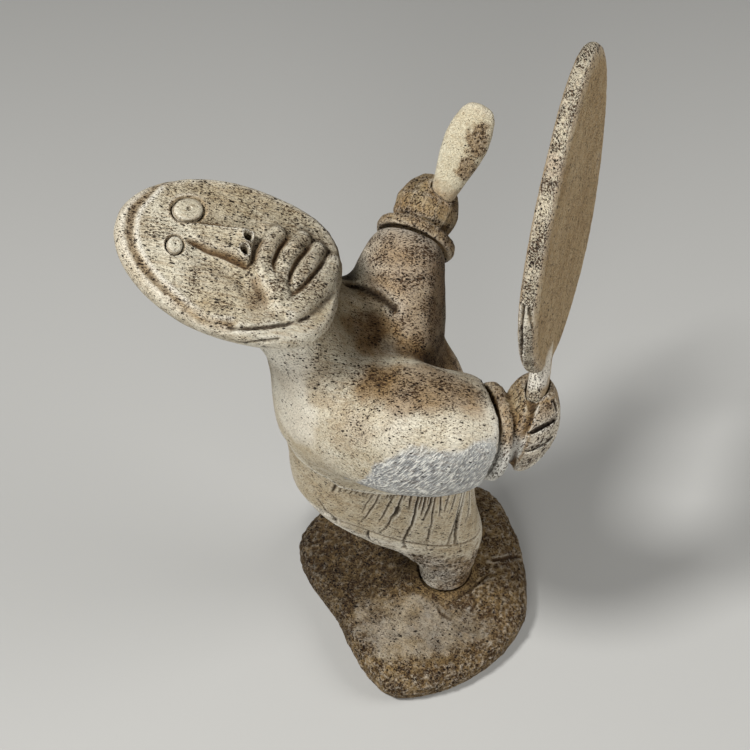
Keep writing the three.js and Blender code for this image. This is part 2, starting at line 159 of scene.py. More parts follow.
def smooth_line(places, count=9):
    """A smooth curve through a few places."""
    places = np.asarray(places, float)
    held = np.concatenate([[2 * places[0] - places[1]], places, [2 * places[-1] - places[-2]]])
    runs = []
    t = (np.arange(count) / count)[:, None]
    for a, b, c, d in zip(held[:-3], held[1:-2], held[2:-1], held[3:]):
        bend = (2 * a - 5 * b + 4 * c - d) * t**2 / 2
        twist = (3 * b - a - 3 * c + d) * t**3 / 2
        runs.append(b + (c - a) * t / 2 + bend + twist)
    return np.concatenate(runs + [places[-1:]])


def beside(down, across, line):
    """How far each place is from a curve, on which side of it, and how far along it from 0 to 1."""
    line = smooth_line(line)
    reach = np.concatenate([[0], np.cumsum(np.linalg.norm(np.diff(line, axis=0), axis=1))])
    found = np.full(len(down), 1e9)
    side, share = np.zeros(len(down)), np.zeros(len(down))
    for a, b, before, after in zip(line[:-1], line[1:], reach[:-1], reach[1:]):
        run = b - a
        rel = np.stack([down - a[0], across - a[1]])
        t = np.clip((run @ rel) / (run @ run), 0, 1)
        away = np.hypot(rel[0] - t * run[0], rel[1] - t * run[1])
        near = away < found
        found = np.where(near, away, found)
        turn = (run[1] * rel[0] - run[0] * rel[1]) / (np.linalg.norm(run) * np.maximum(away, 1e-6))
        side = np.where(near, turn, side)
        share = np.where(near, (before + t * (after - before)) / reach[-1], share)
    return found, side, share


def soft_max(a, b, blend):
    """The greater of two heights, with a fillet where they meet."""
    near = np.maximum(blend - np.abs(a - b), 0) / blend
    return np.maximum(a, b) + near * near * blend / 4


# A piece's surface while it is carved


# The masks: dirt and painted shade in recesses, stains and painted shade, polish with a painted sheen, wear
# and painted highlights, pits, ridges, and painted shade in hollows.
MASKS = ("grime", "brown", "grey", "white", "pitted", "edge", "hollow")
BOX_MARGIN = 0.01  # how far inside its solid's box a finished surface stays


class Surface:
    """The fine surface of one piece: its points in millimetres and the masks painted on them."""

    def __init__(self, node, voxel):
        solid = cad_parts[node]
        self.piece = bpy.data.objects.new("carved_" + node, solid.data.copy())
        bpy.context.scene.collection.objects.link(self.piece)
        even = self.piece.modifiers.new("even", "REMESH")
        even.mode = "VOXEL"
        even.voxel_size = voxel * MM
        graph = bpy.context.evaluated_depsgraph_get()
        made = bpy.data.meshes.new_from_object(self.piece.evaluated_get(graph))
        self.piece.modifiers.clear()
        self.piece.data = made
        self.node = node
        self.masks = {}
        self.read()

    def read(self):
        """Takes the points and their links from the mesh."""
        mesh = self.piece.data
        count = len(mesh.vertices)
        flat = np.empty(count * 3, np.float32)
        mesh.vertices.foreach_get("co", flat)
        self.points = flat.reshape(-1, 3).astype(float) / MM
        pairs = np.empty(len(mesh.edges) * 2, np.int32)
        mesh.edges.foreach_get("vertices", pairs)
        self.ends = pairs.reshape(-1, 2).T
        self.links = np.maximum(np.bincount(pairs, minlength=count), 1)

    def write(self):
        """Puts the points back into the mesh."""
        mesh = self.piece.data
        mesh.vertices.foreach_set("co", (self.points * MM).astype(np.float32).ravel())
        mesh.update()

    def normals(self):
        self.write()
        flat = np.empty(len(self.points) * 3, np.float32)
        self.piece.data.vertex_normals.foreach_get("vector", flat)
        return flat.reshape(-1, 3).astype(float)

    def around(self, values):
        """Each point's mean over the points it is linked to."""
        a, b = self.ends
        columns = values.reshape(len(values), -1)
        count = len(values)
        total = [
            np.bincount(a, weights=c[b], minlength=count) + np.bincount(b, weights=c[a], minlength=count)
            for c in columns.T
        ]
        return (np.stack(total, axis=1) / self.links[:, None]).reshape(values.shape)

    def blur(self, values, steps):
        for _ in range(steps):
            values = (values + self.around(values)) / 2
        return values

    def smooth(self, steps, share=1.0, keep_size=True):
        """Evens out facets. The slow part of the shrinking is put back."""
        before = self.points.copy()
        pull = np.broadcast_to(np.asarray(share, float), (len(before),))[:, None] * 0.6
        for _ in range(steps):
            self.points = self.points + pull * (self.around(self.points) - self.points)
        if keep_size:
            out = self.normals()
            lost = np.einsum("ij,ij->i", before - self.points, out)
            self.points = self.points + out * self.blur(lost, steps)[:, None]

    def finer(self, wanted):
        """Splits the faces of the points where wanted is true."""
        self.write()
        mesh = bmesh.new()
        mesh.from_mesh(self.piece.data)
        mesh.verts.ensure_lookup_table()
        chosen = [e for e in mesh.edges if wanted[e.verts[0].index] and wanted[e.verts[1].index]]
        bmesh.ops.subdivide_edges(mesh, edges=chosen, cuts=1, use_grid_fill=True)
        mesh.to_mesh(self.piece.data)
        mesh.free()
        self.read()

    def paint(self, name, amount):
        """Adds to a mask, which stays from 0 to 1."""
        held = self.masks.get(name, np.zeros(len(self.points)))
        self.masks[name] = np.clip(np.maximum(held, amount), 0, 1)

    def sink(self, depth, grime_and_shade_share=0.0):
        """Pushes the surface in by depth at each point, and darkens it in proportion with soiling and
        painted shade.
        """
        self.points = self.points - self.normals() * depth[:, None]
        if grime_and_shade_share:
            self.paint("grime", grime_and_shade_share * np.clip(depth / max(depth.max(), 1e-6), 0, 1))

    def distance(self, line, within):
        """How far each point is from a line of points, up to within."""
        line = np.asarray(line, float)
        found = np.full(len(self.points), float(within))
        for a, b in zip(line[:-1], line[1:]):
            low, high = np.minimum(a, b) - within, np.maximum(a, b) + within
            near = np.flatnonzero(np.all((self.points > low) & (self.points < high), axis=1))
            if len(near) == 0:
                continue
            rel, run = self.points[near] - a, b - a
            share = np.clip(rel @ run / max(run @ run, 1e-9), 0, 1)
            away = np.linalg.norm(rel - share[:, None] * run, axis=1)
            found[near] = np.minimum(found[near], away)
        return found

    def score(self, line, wide, deep, grime_and_shade_share=0.8, wander=0.0):
        """A cut along a line, whose points are first moved to the nearest ones of the surface."""
        if wander:
            line = wandering(line, wander, 7 * wide)
        nearest = [np.argmin(np.linalg.norm(self.points - place, axis=1)) for place in line]
        away = self.distance(self.points[nearest], wide * 1.3)
        self.sink(deep * np.clip(1 - (away / wide) ** 2, 0, 1), grime_and_shade_share)

    def finish(self, material, slot):
        """Writes the shape and masks back and hangs the piece on the frame."""
        low, high = (np.array(corner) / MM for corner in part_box(self.node))
        self.points = np.clip(self.points, low + BOX_MARGIN, high - BOX_MARGIN)
        bend = self.curvature()
        below = self.depth_below(14)
        calm = 1 - self.masks.get("calm", np.zeros(len(self.points)))
        # Ridges are lightened as wear, and hollows are darkened with painted shade.
        self.masks["edge"] = calm * np.clip(bend * 3.2 - below * 0.5, 0, 1)
        self.masks["hollow"] = calm * np.clip(below * 0.9 - bend * 2, 0, 1)
        self.write()
        mesh = self.piece.data
        for name in MASKS:
            values = self.masks.get(name, np.zeros(len(self.points)))
            layer = mesh.attributes.new(name, "FLOAT", "POINT")
            layer.data.foreach_set("value", values.astype(np.float32))
        mesh.shade_smooth()
        mesh.materials.clear()
        mesh.materials.append(material)
        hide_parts(self.node)
        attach(self.piece, "root")

    def depth_below(self, steps):
        """How far each point lies below its surroundings, in millimetres, and less than 0 on a ridge."""
        even = self.points
        for _ in range(steps):
            even = even + 0.6 * (self.around(even) - even)
        return np.einsum("ij,ij->i", even - self.points, self.normals())

    def curvature(self):
        """How sharply the surface bends at each point, positive on ridges, in steps of the mesh."""
        out = self.normals()
        inward = np.einsum("ij,ij->i", self.points - self.around(self.points), out)
        a, b = self.ends
        reach = np.linalg.norm(self.points[a] - self.points[b], axis=1)
        total = np.bincount(a, reach, len(self.points)) + np.bincount(b, reach, len(self.points))
        return self.blur(inward / (total / self.links), 3)


def weather(s, deep, size, fine_deep, fine_size, seed=5):
    """Uneven hand-worn surface: slow waves and fine unevenness, sunk in only."""
    slow = deep * 0.5 * (1 + rough(s.points, size, seed)) * 0.6
    fine = fine_deep * 0.5 * (1 + rough(s.points, fine_size, seed + 9))
    s.sink(slow + fine)


# Shader groups


def new_group(name, inputs, outputs):
    group = bpy.data.node_groups.new(name, "ShaderNodeTree")
    for label, kind, value in inputs:
        socket = group.interface.new_socket(label, in_out="INPUT", socket_type=kind)
        if value is not None:
            socket.default_value = value
    for label, kind in outputs:
        group.interface.new_socket(label, in_out="OUTPUT", socket_type=kind)
    return group, Tree(group)


class Tree:
    """Adds and links nodes of a node tree in one line each."""

    def __init__(self, tree):
        self.tree = tree

    def add(self, kind, **settings):
        inputs = settings.pop("inputs", {})
        node = self.tree.nodes.new(kind)
        for key, value in settings.items():
            setattr(node, key, value)
        for key, value in inputs.items():
            self.feed(node.inputs[key], value)
        return node

    def feed(self, socket, value):
        if isinstance(value, bpy.types.NodeSocket):
            self.tree.links.new(value, socket)
        elif value is not None:
            socket.default_value = value

    def math(self, operation, a, b=None, c=None, clamp=False):
        node = self.add("ShaderNodeMath", operation=operation, use_clamp=clamp)
        for socket, value in zip(node.inputs, (a, b, c)):
            self.feed(socket, value)
        return node.outputs[0]

    def ramp(self, value, low, high, to_low=0.0, to_high=1.0):
        node = self.add("ShaderNodeMapRange", interpolation_type="SMOOTHSTEP")
        names = ("Value", "From Min", "From Max", "To Min", "To Max")
        for key, given in zip(names, (value, low, high, to_low, to_high)):
            self.feed(node.inputs[key], given)
        return node.outputs["Result"]

    def mix(self, share, a, b):
        node = self.add("ShaderNodeMix", data_type="RGBA")
        self.feed(node.inputs["Factor"], share)
        self.feed(node.inputs[6], a)
        self.feed(node.inputs[7], b)
        return node.outputs[2]

    def noise(self, vector, scale, detail, roughness=0.6):
        given = {"Vector": vector, "Scale": scale, "Detail": detail, "Roughness": roughness}
        return self.add("ShaderNodeTexNoise", inputs=given).outputs["Fac"]

    def mask(self, name):
        node = self.add("ShaderNodeAttribute", attribute_name=name, attribute_type="GEOMETRY")
        return node.outputs["Fac"]

    def turned(self, vector, degrees):
        turn = [math.radians(a) for a in degrees]
        return self.add("ShaderNodeMapping", inputs={"Vector": vector, "Rotation": turn}).outputs[0]

    def group(self, group, **inputs):
        node = self.add("ShaderNodeGroup", node_tree=group)
        for key, value in inputs.items():
            self.feed(node.inputs[key], value)
        return node


def pit_group():
    """Small dark holes of the open bone: one to a cell, in a share of the cells."""
    group, t = new_group(
        "bone_pits",
        [
            ("Vector", "NodeSocketVector", None),
            ("Scale", "NodeSocketFloat", 300.0),
            ("Share", "NodeSocketFloat", 0.5),
            ("Size", "NodeSocketFloat", 0.3),
        ],
        [("Mask", "NodeSocketFloat")],
    )
    inside = t.add("NodeGroupInput")
    vector, scale, share, size = (inside.outputs[k] for k in ("Vector", "Scale", "Share", "Size"))
    waves = {"Vector": vector, "Scale": t.math("MULTIPLY", scale, 0.9), "Detail": 1.0}
    bend = t.add("ShaderNodeTexNoise", inputs=waves).outputs["Color"]
    bend_size = t.math("DIVIDE", 0.9, scale)
    shift = t.add("ShaderNodeVectorMath", operation="SCALE", inputs={0: bend, "Scale": bend_size})
    bent = t.add("ShaderNodeVectorMath", operation="ADD", inputs={0: vector, 1: shift.outputs[0]})
    spread = {"Vector": bent.outputs[0], "Scale": scale, "Randomness": 1.0}
    cells = t.add("ShaderNodeTexVoronoi", feature="F1", inputs=spread)
    parts = t.add("ShaderNodeSeparateColor", inputs={"Color": cells.outputs["Color"]})
    held = t.math("LESS_THAN", parts.outputs["Red"], share)
    reach = t.math("MULTIPLY", size, t.math("MULTIPLY_ADD", parts.outputs["Green"], 0.8, 0.45))
    edge = t.ramp(cells.outputs["Distance"], t.math("MULTIPLY", reach, 0.55), reach, 1.0, 0.0)
    out = t.add("NodeGroupOutput")
    t.feed(out.inputs["Mask"], t.math("MULTIPLY", edge, held))
    return group


def grain_group():
    """Fine lines that run along the bone."""
    group, t = new_group(
        "bone_grain",
        [
            ("Vector", "NodeSocketVector", None),
            ("Scale", "NodeSocketFloat", 300.0),
            ("Stretch", "NodeSocketFloat", 0.12),
        ],
        [("Lines", "NodeSocketFloat")],
    )
    inside = t.add("NodeGroupInput")
    parts = t.add("ShaderNodeSeparateXYZ", inputs={0: inside.outputs["Vector"]})
    along = t.math("MULTIPLY", parts.outputs["X"], inside.outputs["Stretch"])
    drawn = {0: along, 1: parts.outputs["Y"], 2: parts.outputs["Z"]}
    stretched = t.add("ShaderNodeCombineXYZ", inputs=drawn).outputs[0]
    lines = t.noise(stretched, inside.outputs["Scale"], 3.0)
    out = t.add("NodeGroupOutput")
    t.feed(out.inputs["Lines"], lines)
    return group


def patch_group():
    """Broad uneven patches, as of stains or wear."""
    group, t = new_group(
        "bone_patches",
        [
            ("Vector", "NodeSocketVector", None),
            ("Scale", "NodeSocketFloat", 20.0),
            ("Low", "NodeSocketFloat", 0.4),
            ("High", "NodeSocketFloat", 0.65),
        ],
        [("Mask", "NodeSocketFloat")],
    )
    inside = t.add("NodeGroupInput")
    cloud = t.noise(inside.outputs["Vector"], inside.outputs["Scale"], 5.0)
    out = t.add("NodeGroupOutput")
    t.feed(out.inputs["Mask"], t.ramp(cloud, inside.outputs["Low"], inside.outputs["High"]))
    return group


PITS, GRAIN, PATCHES = pit_group(), grain_group(), patch_group()


def rgb(red, green, blue):
    """A colour as seen on a screen, 0 to 255, in the linear values that Blender takes."""
    seen = [c / 255 for c in (red, green, blue)]
    return tuple(((c + 0.055) / 1.055) ** 2.4 if c > 0.04045 else c / 12.92 for c in seen) + (1.0,)


# Colours of pits, of dirt and painted shade, of stains and painted shade, of the painted sheen, and of wear
# and painted highlights.
PIT_BROWN = rgb(26, 14, 4)
DIRT_AND_SHADE_BROWN = rgb(64, 41, 17)
STAIN_AND_SHADE_BROWN = rgb(144, 114, 72)
SHEEN_GREY = rgb(148, 155, 162)
WORN_AND_HIGHLIGHT_WHITE = rgb(238, 235, 224)
# How many waves of each pattern fit in a metre, and the scratches' direction in degrees.
GRAIN_LINES, SCRATCHES = 620.0, 850.0
STAIN_PATCHES, STAIN_CLOUDS, SPECKS = 22.0, 85.0, 1100.0
SCRATCH_TURN = (0, 52, 0)


def patches(t, vector, scale, low, high):
    return t.group(PATCHES, Vector=vector, Scale=scale, Low=low, High=high).outputs["Mask"]


def pits(t, vector, scale, share, size):
    return t.group(PITS, Vector=vector, Scale=scale, Share=share, Size=size).outputs["Mask"]


def grain(t, vector, scale, stretch):
    return t.group(GRAIN, Vector=vector, Scale=scale, Stretch=stretch).outputs["Lines"]


def bone_layers(t, turn, across, stretch):
    """What varies over the bone: the masks painted on the piece and the patterns that they call up."""
    place = t.add("ShaderNodeTexCoord").outputs["Object"]
    along = t.turned(place, turn)
    drawn = t.add("ShaderNodeMapping", inputs={"Vector": along, "Scale": (stretch, 1.0, 1.0)}).outputs[0]
    of = SimpleNamespace(**{name: t.mask(name) for name in MASKS})
    of.lines = grain(t, along, GRAIN_LINES, 0.09)
    of.scratches = grain(t, t.turned(place, SCRATCH_TURN), SCRATCHES, 0.2)
    of.patches = patches(t, place, STAIN_PATCHES, 0.38, 0.66)
    of.clouds = patches(t, place, STAIN_CLOUDS, 0.36, 0.66)
    of.specks = patches(t, drawn, SPECKS, 0.46, 0.62)

    of.crowd = t.math("MULTIPLY", of.pitted, t.math("MULTIPLY_ADD", of.clouds, 0.6, 0.52), clamp=True)
    fill_low = t.math("MULTIPLY_ADD", of.crowd, -0.18, 0.685)
    fill_high = t.math("ADD", fill_low, 0.035)
    of.mottle = patches(t, drawn, across * 1.25, fill_low, fill_high)
    of.small = pits(t, drawn, across * 1.75, t.math("MULTIPLY_ADD", of.crowd, 0.95, 0.05), 0.44)
    coarse = pits(t, drawn, float(across), t.math("MULTIPLY", of.crowd, 0.5), 0.45)
    large = pits(t, drawn, across * 0.55, t.math("MULTIPLY", of.crowd, 0.16), 0.36)
    of.holes = t.math("MAXIMUM", coarse, large)
    return of


def bone_tone(t, of, light, deep, streaks, worn):
    """The bone's colour, laid from the broad tone through stains, painted sheen and highlights to the
    soiling and painted shade in its pits and hollows.
    """
    brown = t.math("MULTIPLY", of.brown, t.math("MULTIPLY_ADD", of.clouds, 0.15, 0.95), clamp=True)
    grey = t.math("MULTIPLY", of.grey, t.math("MULTIPLY_ADD", of.lines, 0.5, 0.55), clamp=True)
    # The brown coat is stains and painted shade; the grey coat and the scratches on it are a painted sheen;
    # white is wear and painted highlights; the hollow coat and the last coat are painted shade with dirt.
    coats = [
        (brown, STAIN_AND_SHADE_BROWN),
        (grey, SHEEN_GREY),
        (t.ramp(of.lines, 0.48, 0.66, 0.0, streaks), STAIN_AND_SHADE_BROWN),
        (t.math("MULTIPLY", of.specks, t.math("MULTIPLY_ADD", of.crowd, 0.4, 0.16)), DIRT_AND_SHADE_BROWN),
        (t.math("MULTIPLY", of.grey, t.ramp(of.scratches, 0.5, 0.6, 0.0, 0.85)), WORN_AND_HIGHLIGHT_WHITE),
        (t.math("MULTIPLY", of.grey, t.ramp(of.scratches, 0.38, 0.45, 0.55, 0.0)), PIT_BROWN),
        (t.math("MULTIPLY", of.white, 0.7), WORN_AND_HIGHLIGHT_WHITE),
        (t.math("MULTIPLY", of.edge, worn), WORN_AND_HIGHLIGHT_WHITE),
        (t.math("MULTIPLY", of.hollow, 0.75), DIRT_AND_SHADE_BROWN),
        (t.math("MULTIPLY", of.mottle, 0.94), DIRT_AND_SHADE_BROWN),
        (t.math("MULTIPLY", of.small, 0.7), DIRT_AND_SHADE_BROWN),
        (t.math("MULTIPLY", of.holes, 0.95), PIT_BROWN),
        (t.math("MULTIPLY", of.grime, 0.9), PIT_BROWN),
    ]
    deepened = t.math("MULTIPLY_ADD", of.patches, 0.55, t.math("MULTIPLY", of.clouds, 0.35))
    tone = t.mix(deepened, light, deep)
    for share, colour in coats:
        tone = t.mix(share, tone, colour)
    return tone


def bone_height(t, of):
    """The fine relief: holes and specks go in, the grain's lines and the scratches stand up."""
    height = t.math("MULTIPLY", of.holes, -1.0)
    for part, high in ((of.small, -0.5), (of.lines, 0.3), (of.specks, -0.2), (of.mottle, -0.6)):
        height = t.math("ADD", height, t.math("MULTIPLY", part, high))
    scratched = t.math("MULTIPLY", of.scratches, t.math("MULTIPLY_ADD", of.grey, 2.6, 0.1))
    return t.math("ADD", height, scratched)


def bone(
    name,
    light,
    deep,
    turn=(0, 0, 0),
    across=760,
    stretch=0.5,
    roughness=0.78,
    streaks=0.35,
    worn=0.5,
    relief=1.1,
):
    """Whalebone. The masks painted on a piece say where it has stains and painted shade, a grey painted
    sheen, pits, wear and painted highlights, and hollows.

    turn is the grain's direction in degrees, across how many pit cells fit in a metre across the grain,
    stretch the share of that number that fits along it, streaks how brown the grain's lines are, worn how
    light the ridges are, and relief how high the fine relief seems, in millimetres.
    """
    material = bpy.data.materials.new(name)
    material.use_nodes = True
    t = Tree(material.node_tree)
    shader = material.node_tree.nodes["Principled BSDF"]
    of = bone_layers(t, turn, across, stretch)
    t.feed(shader.inputs["Base Color"], bone_tone(t, of, light, deep, streaks, worn))

    dull = t.math("ADD", roughness, t.math("MULTIPLY", of.holes, 0.15))
    dull = t.math("SUBTRACT", dull, t.math("MULTIPLY", of.grey, 0.35), clamp=True)
    t.feed(shader.inputs["Roughness"], dull)
    shader.inputs["Specular IOR Level"].default_value = 0.3

    raised = {"Strength": 1.0, "Distance": relief * MM, "Height": bone_height(t, of)}
    fine_bump = t.add("ShaderNodeBump", inputs=raised)
    t.feed(shader.inputs["Normal"], fine_bump.outputs["Normal"])
    return material


# Figure

HEAD_LENGTH, HEAD_WIDTH = 147.5, 107
HEAD_MIDDLE = (-3.3, 6.6)
RIGHT_SLEEVE_END = (point(46, -31.5, 258.4), unit(point(0.957, 0.187, -0.222)))
LEFT_SLEEVE_END = (point(-3, 85, 324), unit(point(0.39, 0.86, 0.33)))
# Parts of the body that get a finer skin: lowest and highest height, first and last angle.
FINER_PARTS = [(0.04, 0.31, -150, 5), (0.3, 0.56, -150, -8), (0.38, 0.51, -112, -12)]


def figure():
    """Head, parka with both sleeves, and skirt, carved as one piece."""
    s = Surface("figure", 2.7)
    s.smooth(18, figure_softness(s))
    model_face(s)
    for low, high, first, last in FINER_PARTS:
        angle, height, on_body = body_places(s.points)
        s.finer((height > low) & (height < high) & (angle > first) & (angle < last) & (on_body > 0.5))
    weather(s, deep=1.0, size=40, fine_deep=0.3, fine_size=9)
    carve_parka_edge(s)
    carve_skirt(s)
    carve_foot(s)
    for line, wide, deep in BODY_CUTS:
        s.score(line, wide, deep, 0.8, 0.5)
    carve_hood(s)
    paint_figure(s)
    return s


# The hood's groove, from the crown's far side round to the near cheek.
HOOD_GROOVE = [
    (-165, 27, 428),
    (-171.1, 16.2, 428),
    (-175.8, 7.2, 427.5),
    (-177.6, -1.7, 425.8),
    (-177.4, -11.9, 422.9),
    (-174.7, -21.1, 419.1),
    (-169.8, -29.4, 414.5),
    (-161.5, -37.5, 408.5),
    (-152.4, -44.2, 402.3),
    (-143.5, -49.3, 395.7),
    (-134.7, -52.4, 389.5),
    (-125.7, -53.2, 386.3),
    (-116.8, -51.6, 383.9),
]


def carve_hood(s):
    """The hood's soft groove round the face, with a ridge on its inner side that has a painted highlight.
    """
    groove = np.array(HOOD_GROOVE)
    inward = unit_rows(FACE_CENTRE - groove)
    away = s.distance(wandering(groove + 2.2 * inward, 0.7, 12), 12)
    ridge = s.distance(wandering(groove + 6.2 * inward, 0.7, 12), 9)
    s.sink(1.4 * np.exp(-((away / 3.0) ** 2)) - 0.6 * np.exp(-((ridge / 1.8) ** 2)))
    s.paint("brown", 0.6 * np.exp(-((away / 4.2) ** 2)))
    s.paint("pitted", 0.9 * np.exp(-((away / 4.5) ** 2)))
    s.paint("grime", 0.3 * np.exp(-((away / 1.6) ** 2)) * (0.4 + 0.6 * rough(s.points, 5, 98)))
    s.paint("white", 0.4 * np.exp(-((ridge / 1.6) ** 2)))


# Edges of the sleeves that stay crisp.
CRISP_EDGES = [
    [(-45, -50, 300), (-38, -55, 303.5), (-15, -57, 308), (4, -56, 307), (20, -52, 304), (42, -45, 296)],
    [(-30, -68, 240), (-14.6, -74, 246), (4.9, -76, 250), (24.7, -73, 249), (40, -66, 244)],
    [(-46, 45, 331), (-42, 54, 332), (-35.7, 64, 338), (-29, 72.8, 342)],
]


def figure_softness(s):
    """How much each place is evened out: little on the head and at the sleeves' crisp edges and ends."""
    points = s.points
    head = blob(points, FACE_CENTRE + 5 * FACE_DOWN - 18 * FACE_OUT, (92, 72, 60))
    share = 1 - 0.7 * head
    for middle, line in (RIGHT_SLEEVE_END, LEFT_SLEEVE_END):
        away = (points - middle) @ line
        reach = np.linalg.norm(points - middle - np.outer(away, line), axis=1)
        share = share * (1 - 0.9 * (reach < 70) * np.exp(-(((away + 6) / 6) ** 2)))
    for line in CRISP_EDGES:
        share = share * (0.3 + 0.7 * step_up(s.distance(line, 16), 5, 15))
    return share * (1 - 0.7 * blob(points, (-30, 26, 328), (30, 24, 24)))


# The body's sections from the foot to the nape: x, z, half depth, half width and forward tilt in degrees.
BODY_MIDDLE = 8
BODY_SECTIONS = [
    (25, 27, 21, 25, 0),
    (26, 46, 23, 27, 4),
    (15, 76, 38, 32, 17),
    (-20, 118, 71, 37, 22),
    (-25, 157, 69, 41, 15),
    (-28, 197, 67, 44, 8),
    (-30, 233, 68, 47, 4),
    (-37, 270, 61, 48, 10),
    (-57, 302, 46, 44, 20),
    (-78, 328, 34, 36, 16),
    (-101, 363, 20, 24, 0),
]
AROUND, UP = 1.05, 400  # millimetres of skin to a degree round the body and to its whole height


def body_places(points):
    """Each point's angle round the body, 0 in front, its height from foot 0 to nape 1, and whether it
    lies on the body's own skin."""
    rows = smooth_line(BODY_SECTIONS, 12)
    steps = np.linspace(0, 1, len(rows))
    low, high = np.zeros(len(points)), np.ones(len(points))
    for _ in range(12):
        height = (low + high) / 2
        x, z, depth, width, tilt = (np.interp(height, steps, column) for column in rows.T)
        above = points[:, 2] > z - np.tan(np.radians(tilt)) * (points[:, 0] - x)
        low, high = np.where(above, height, low), np.where(above, high, height)
    forward, sideways = (points[:, 0] - x) / depth, (points[:, 1] - BODY_MIDDLE) / width
    out = (np.abs(forward) ** 2.3 + np.abs(sideways) ** 2.3) ** (1 / 2.3)
    return np.degrees(np.arctan2(sideways, forward)), height, 1 - step_up(out, 1.12, 1.22)


def beside_on_body(angle, height, line):
    """How far each place on the body's skin is from a line of (angle, height), and how far along it."""
    line = np.array(line) * (AROUND, UP)
    away, _, share = beside(angle * AROUND, height * UP, line)
    return away, share


# The parka's lower edge round the body, as (angle, height).
PARKA_EDGE = [
    (-180, 0.575),
    (-146, 0.581),
    (-138, 0.548),
    (-126, 0.532),
    (-117, 0.523),
    (-113, 0.495),
    (-60, 0.492),
    (90, 0.492),
    (120, 0.515),
    (146, 0.565),
    (180, 0.575),
]
PARKA_STEP = 3.5  # how far the edge stands out from the skirt


def carve_parka_edge(s):
    """Makes the parka's edge crisp, and raises it at the back. Under the edge lies a painted shadow, and
    above it on the near side a painted highlight.
    """
    angle, height, on_body = body_places(s.points)
    edge = np.interp(angle, *np.transpose(PARKA_EDGE)) + 0.002 * lumps(s.points, 9, 12)
    held = step_up(height, 0.466, 0.512) - step_up(height, edge, edge + 0.005)
    s.sink(PARKA_STEP * on_body * held)
    angle, height, on_body = body_places(s.points)
    # Under the edge: a groove with painted shadow; above it on the near side: a painted highlight.
    under = np.exp(-(((edge - height) * UP / 1.6 - 0.6) ** 2))
    s.sink(1.1 * on_body * under, 0.55)
    above = np.exp(-(((height - edge) * UP / 3 - 0.8) ** 2))
    s.paint("white", 0.45 * on_body * above * (angle < -60))
    s.paint("brown", 0.6 * on_body * np.exp(-(((edge - height) * UP / 4 - 0.8) ** 2)))


# The seam above the hem round the body, as (angle, height).
HEM = [
    (-180, 0.335),
    (-140, 0.34),
    (-117, 0.331),
    (-107, 0.334),
    (-93, 0.325),
    (-79, 0.317),
    (-62, 0.314),
    (-35, 0.31),
    (10, 0.305),
    (80, 0.315),
    (180, 0.335),
]
# Cuts of the fringe on the near side: [(angle, height), ...], half width and depth.
FRINGE = [
    ([(-117, 0.486), (-120, 0.452)], 0.9, 2.0),
    ([(-114, 0.478), (-116, 0.457)], 0.6, 1.0),
    ([(-110, 0.48), (-113, 0.46)], 0.6, 1.0),
    ([(-106, 0.482), (-109, 0.464)], 0.6, 1.1),
    ([(-102.5, 0.485), (-105, 0.469)], 0.6, 1.1),
    ([(-99, 0.486), (-101, 0.469)], 0.7, 1.2),
    ([(-96, 0.488), (-98, 0.472)], 0.6, 1.1),
    ([(-93, 0.488), (-96, 0.463), (-99, 0.441), (-103, 0.403)], 0.6, 0.9),
    ([(-90, 0.488), (-93, 0.45), (-98, 0.415), (-105, 0.352)], 0.7, 1.1),
    ([(-84, 0.49), (-86, 0.469)], 0.8, 1.4),
    ([(-82, 0.49), (-84, 0.468)], 0.8, 1.4),
    ([(-80, 0.49), (-85, 0.451), (-90, 0.407), (-93, 0.382)], 0.7, 1.2),
    ([(-75, 0.492), (-80, 0.439), (-82, 0.418)], 0.8, 1.6),
    ([(-80, 0.439), (-82, 0.418), (-85, 0.401)], 1.7, 2.6),
    ([(-85, 0.401), (-90, 0.352), (-93, 0.334)], 0.7, 1.3),
    ([(-73, 0.493), (-76, 0.463)], 0.7, 1.2),
    ([(-70, 0.492), (-73, 0.435)], 0.8, 1.6),
    ([(-65, 0.494), (-68, 0.449), (-72, 0.393), (-78, 0.332), (-82, 0.285)], 0.9, 2.2),
    ([(-62, 0.493), (-67, 0.435)], 0.8, 1.5),
    ([(-60, 0.491), (-63, 0.452), (-66, 0.417)], 0.9, 1.8),
    ([(-57.5, 0.49), (-61, 0.452)], 0.6, 1.2),
    ([(-55, 0.49), (-61, 0.433), (-65, 0.403)], 1.0, 2.0),
    ([(-53, 0.488), (-58, 0.431), (-61, 0.378), (-68, 0.29)], 0.7, 1.3),
    ([(-50, 0.488), (-54, 0.411)], 0.8, 1.8),
    ([(-14, 0.492), (-25, 0.455), (-33, 0.416), (-40, 0.378), (-46, 0.318)], 1.5, 3.0),
    ([(-22, 0.492), (-33, 0.44), (-43, 0.373), (-52, 0.317)], 1.0, 2.0),
    ([(-30, 0.492), (-38, 0.455), (-46, 0.41)], 0.9, 1.8),
    ([(-40, 0.49), (-46, 0.45), (-50, 0.42)], 0.9, 1.8),
    ([(-15, 0.45), (-25, 0.387), (-32, 0.365)], 1.6, 1.6),
    ([(-132, 0.392), (-129, 0.376), (-126, 0.357), (-122, 0.344), (-121, 0.331), (-124, 0.302)], 0.8, 1.8),
    ([(-100, 0.325), (-106, 0.285), (-111, 0.262)], 0.9, 1.8),
]
# The plainer fringe on the sides that the picture doesn't show: angles of its cuts.
FAR_FRINGE = [14, 27, 41, 52, 66, 80, 91, 105, 118, 132, 147, 160, 172]


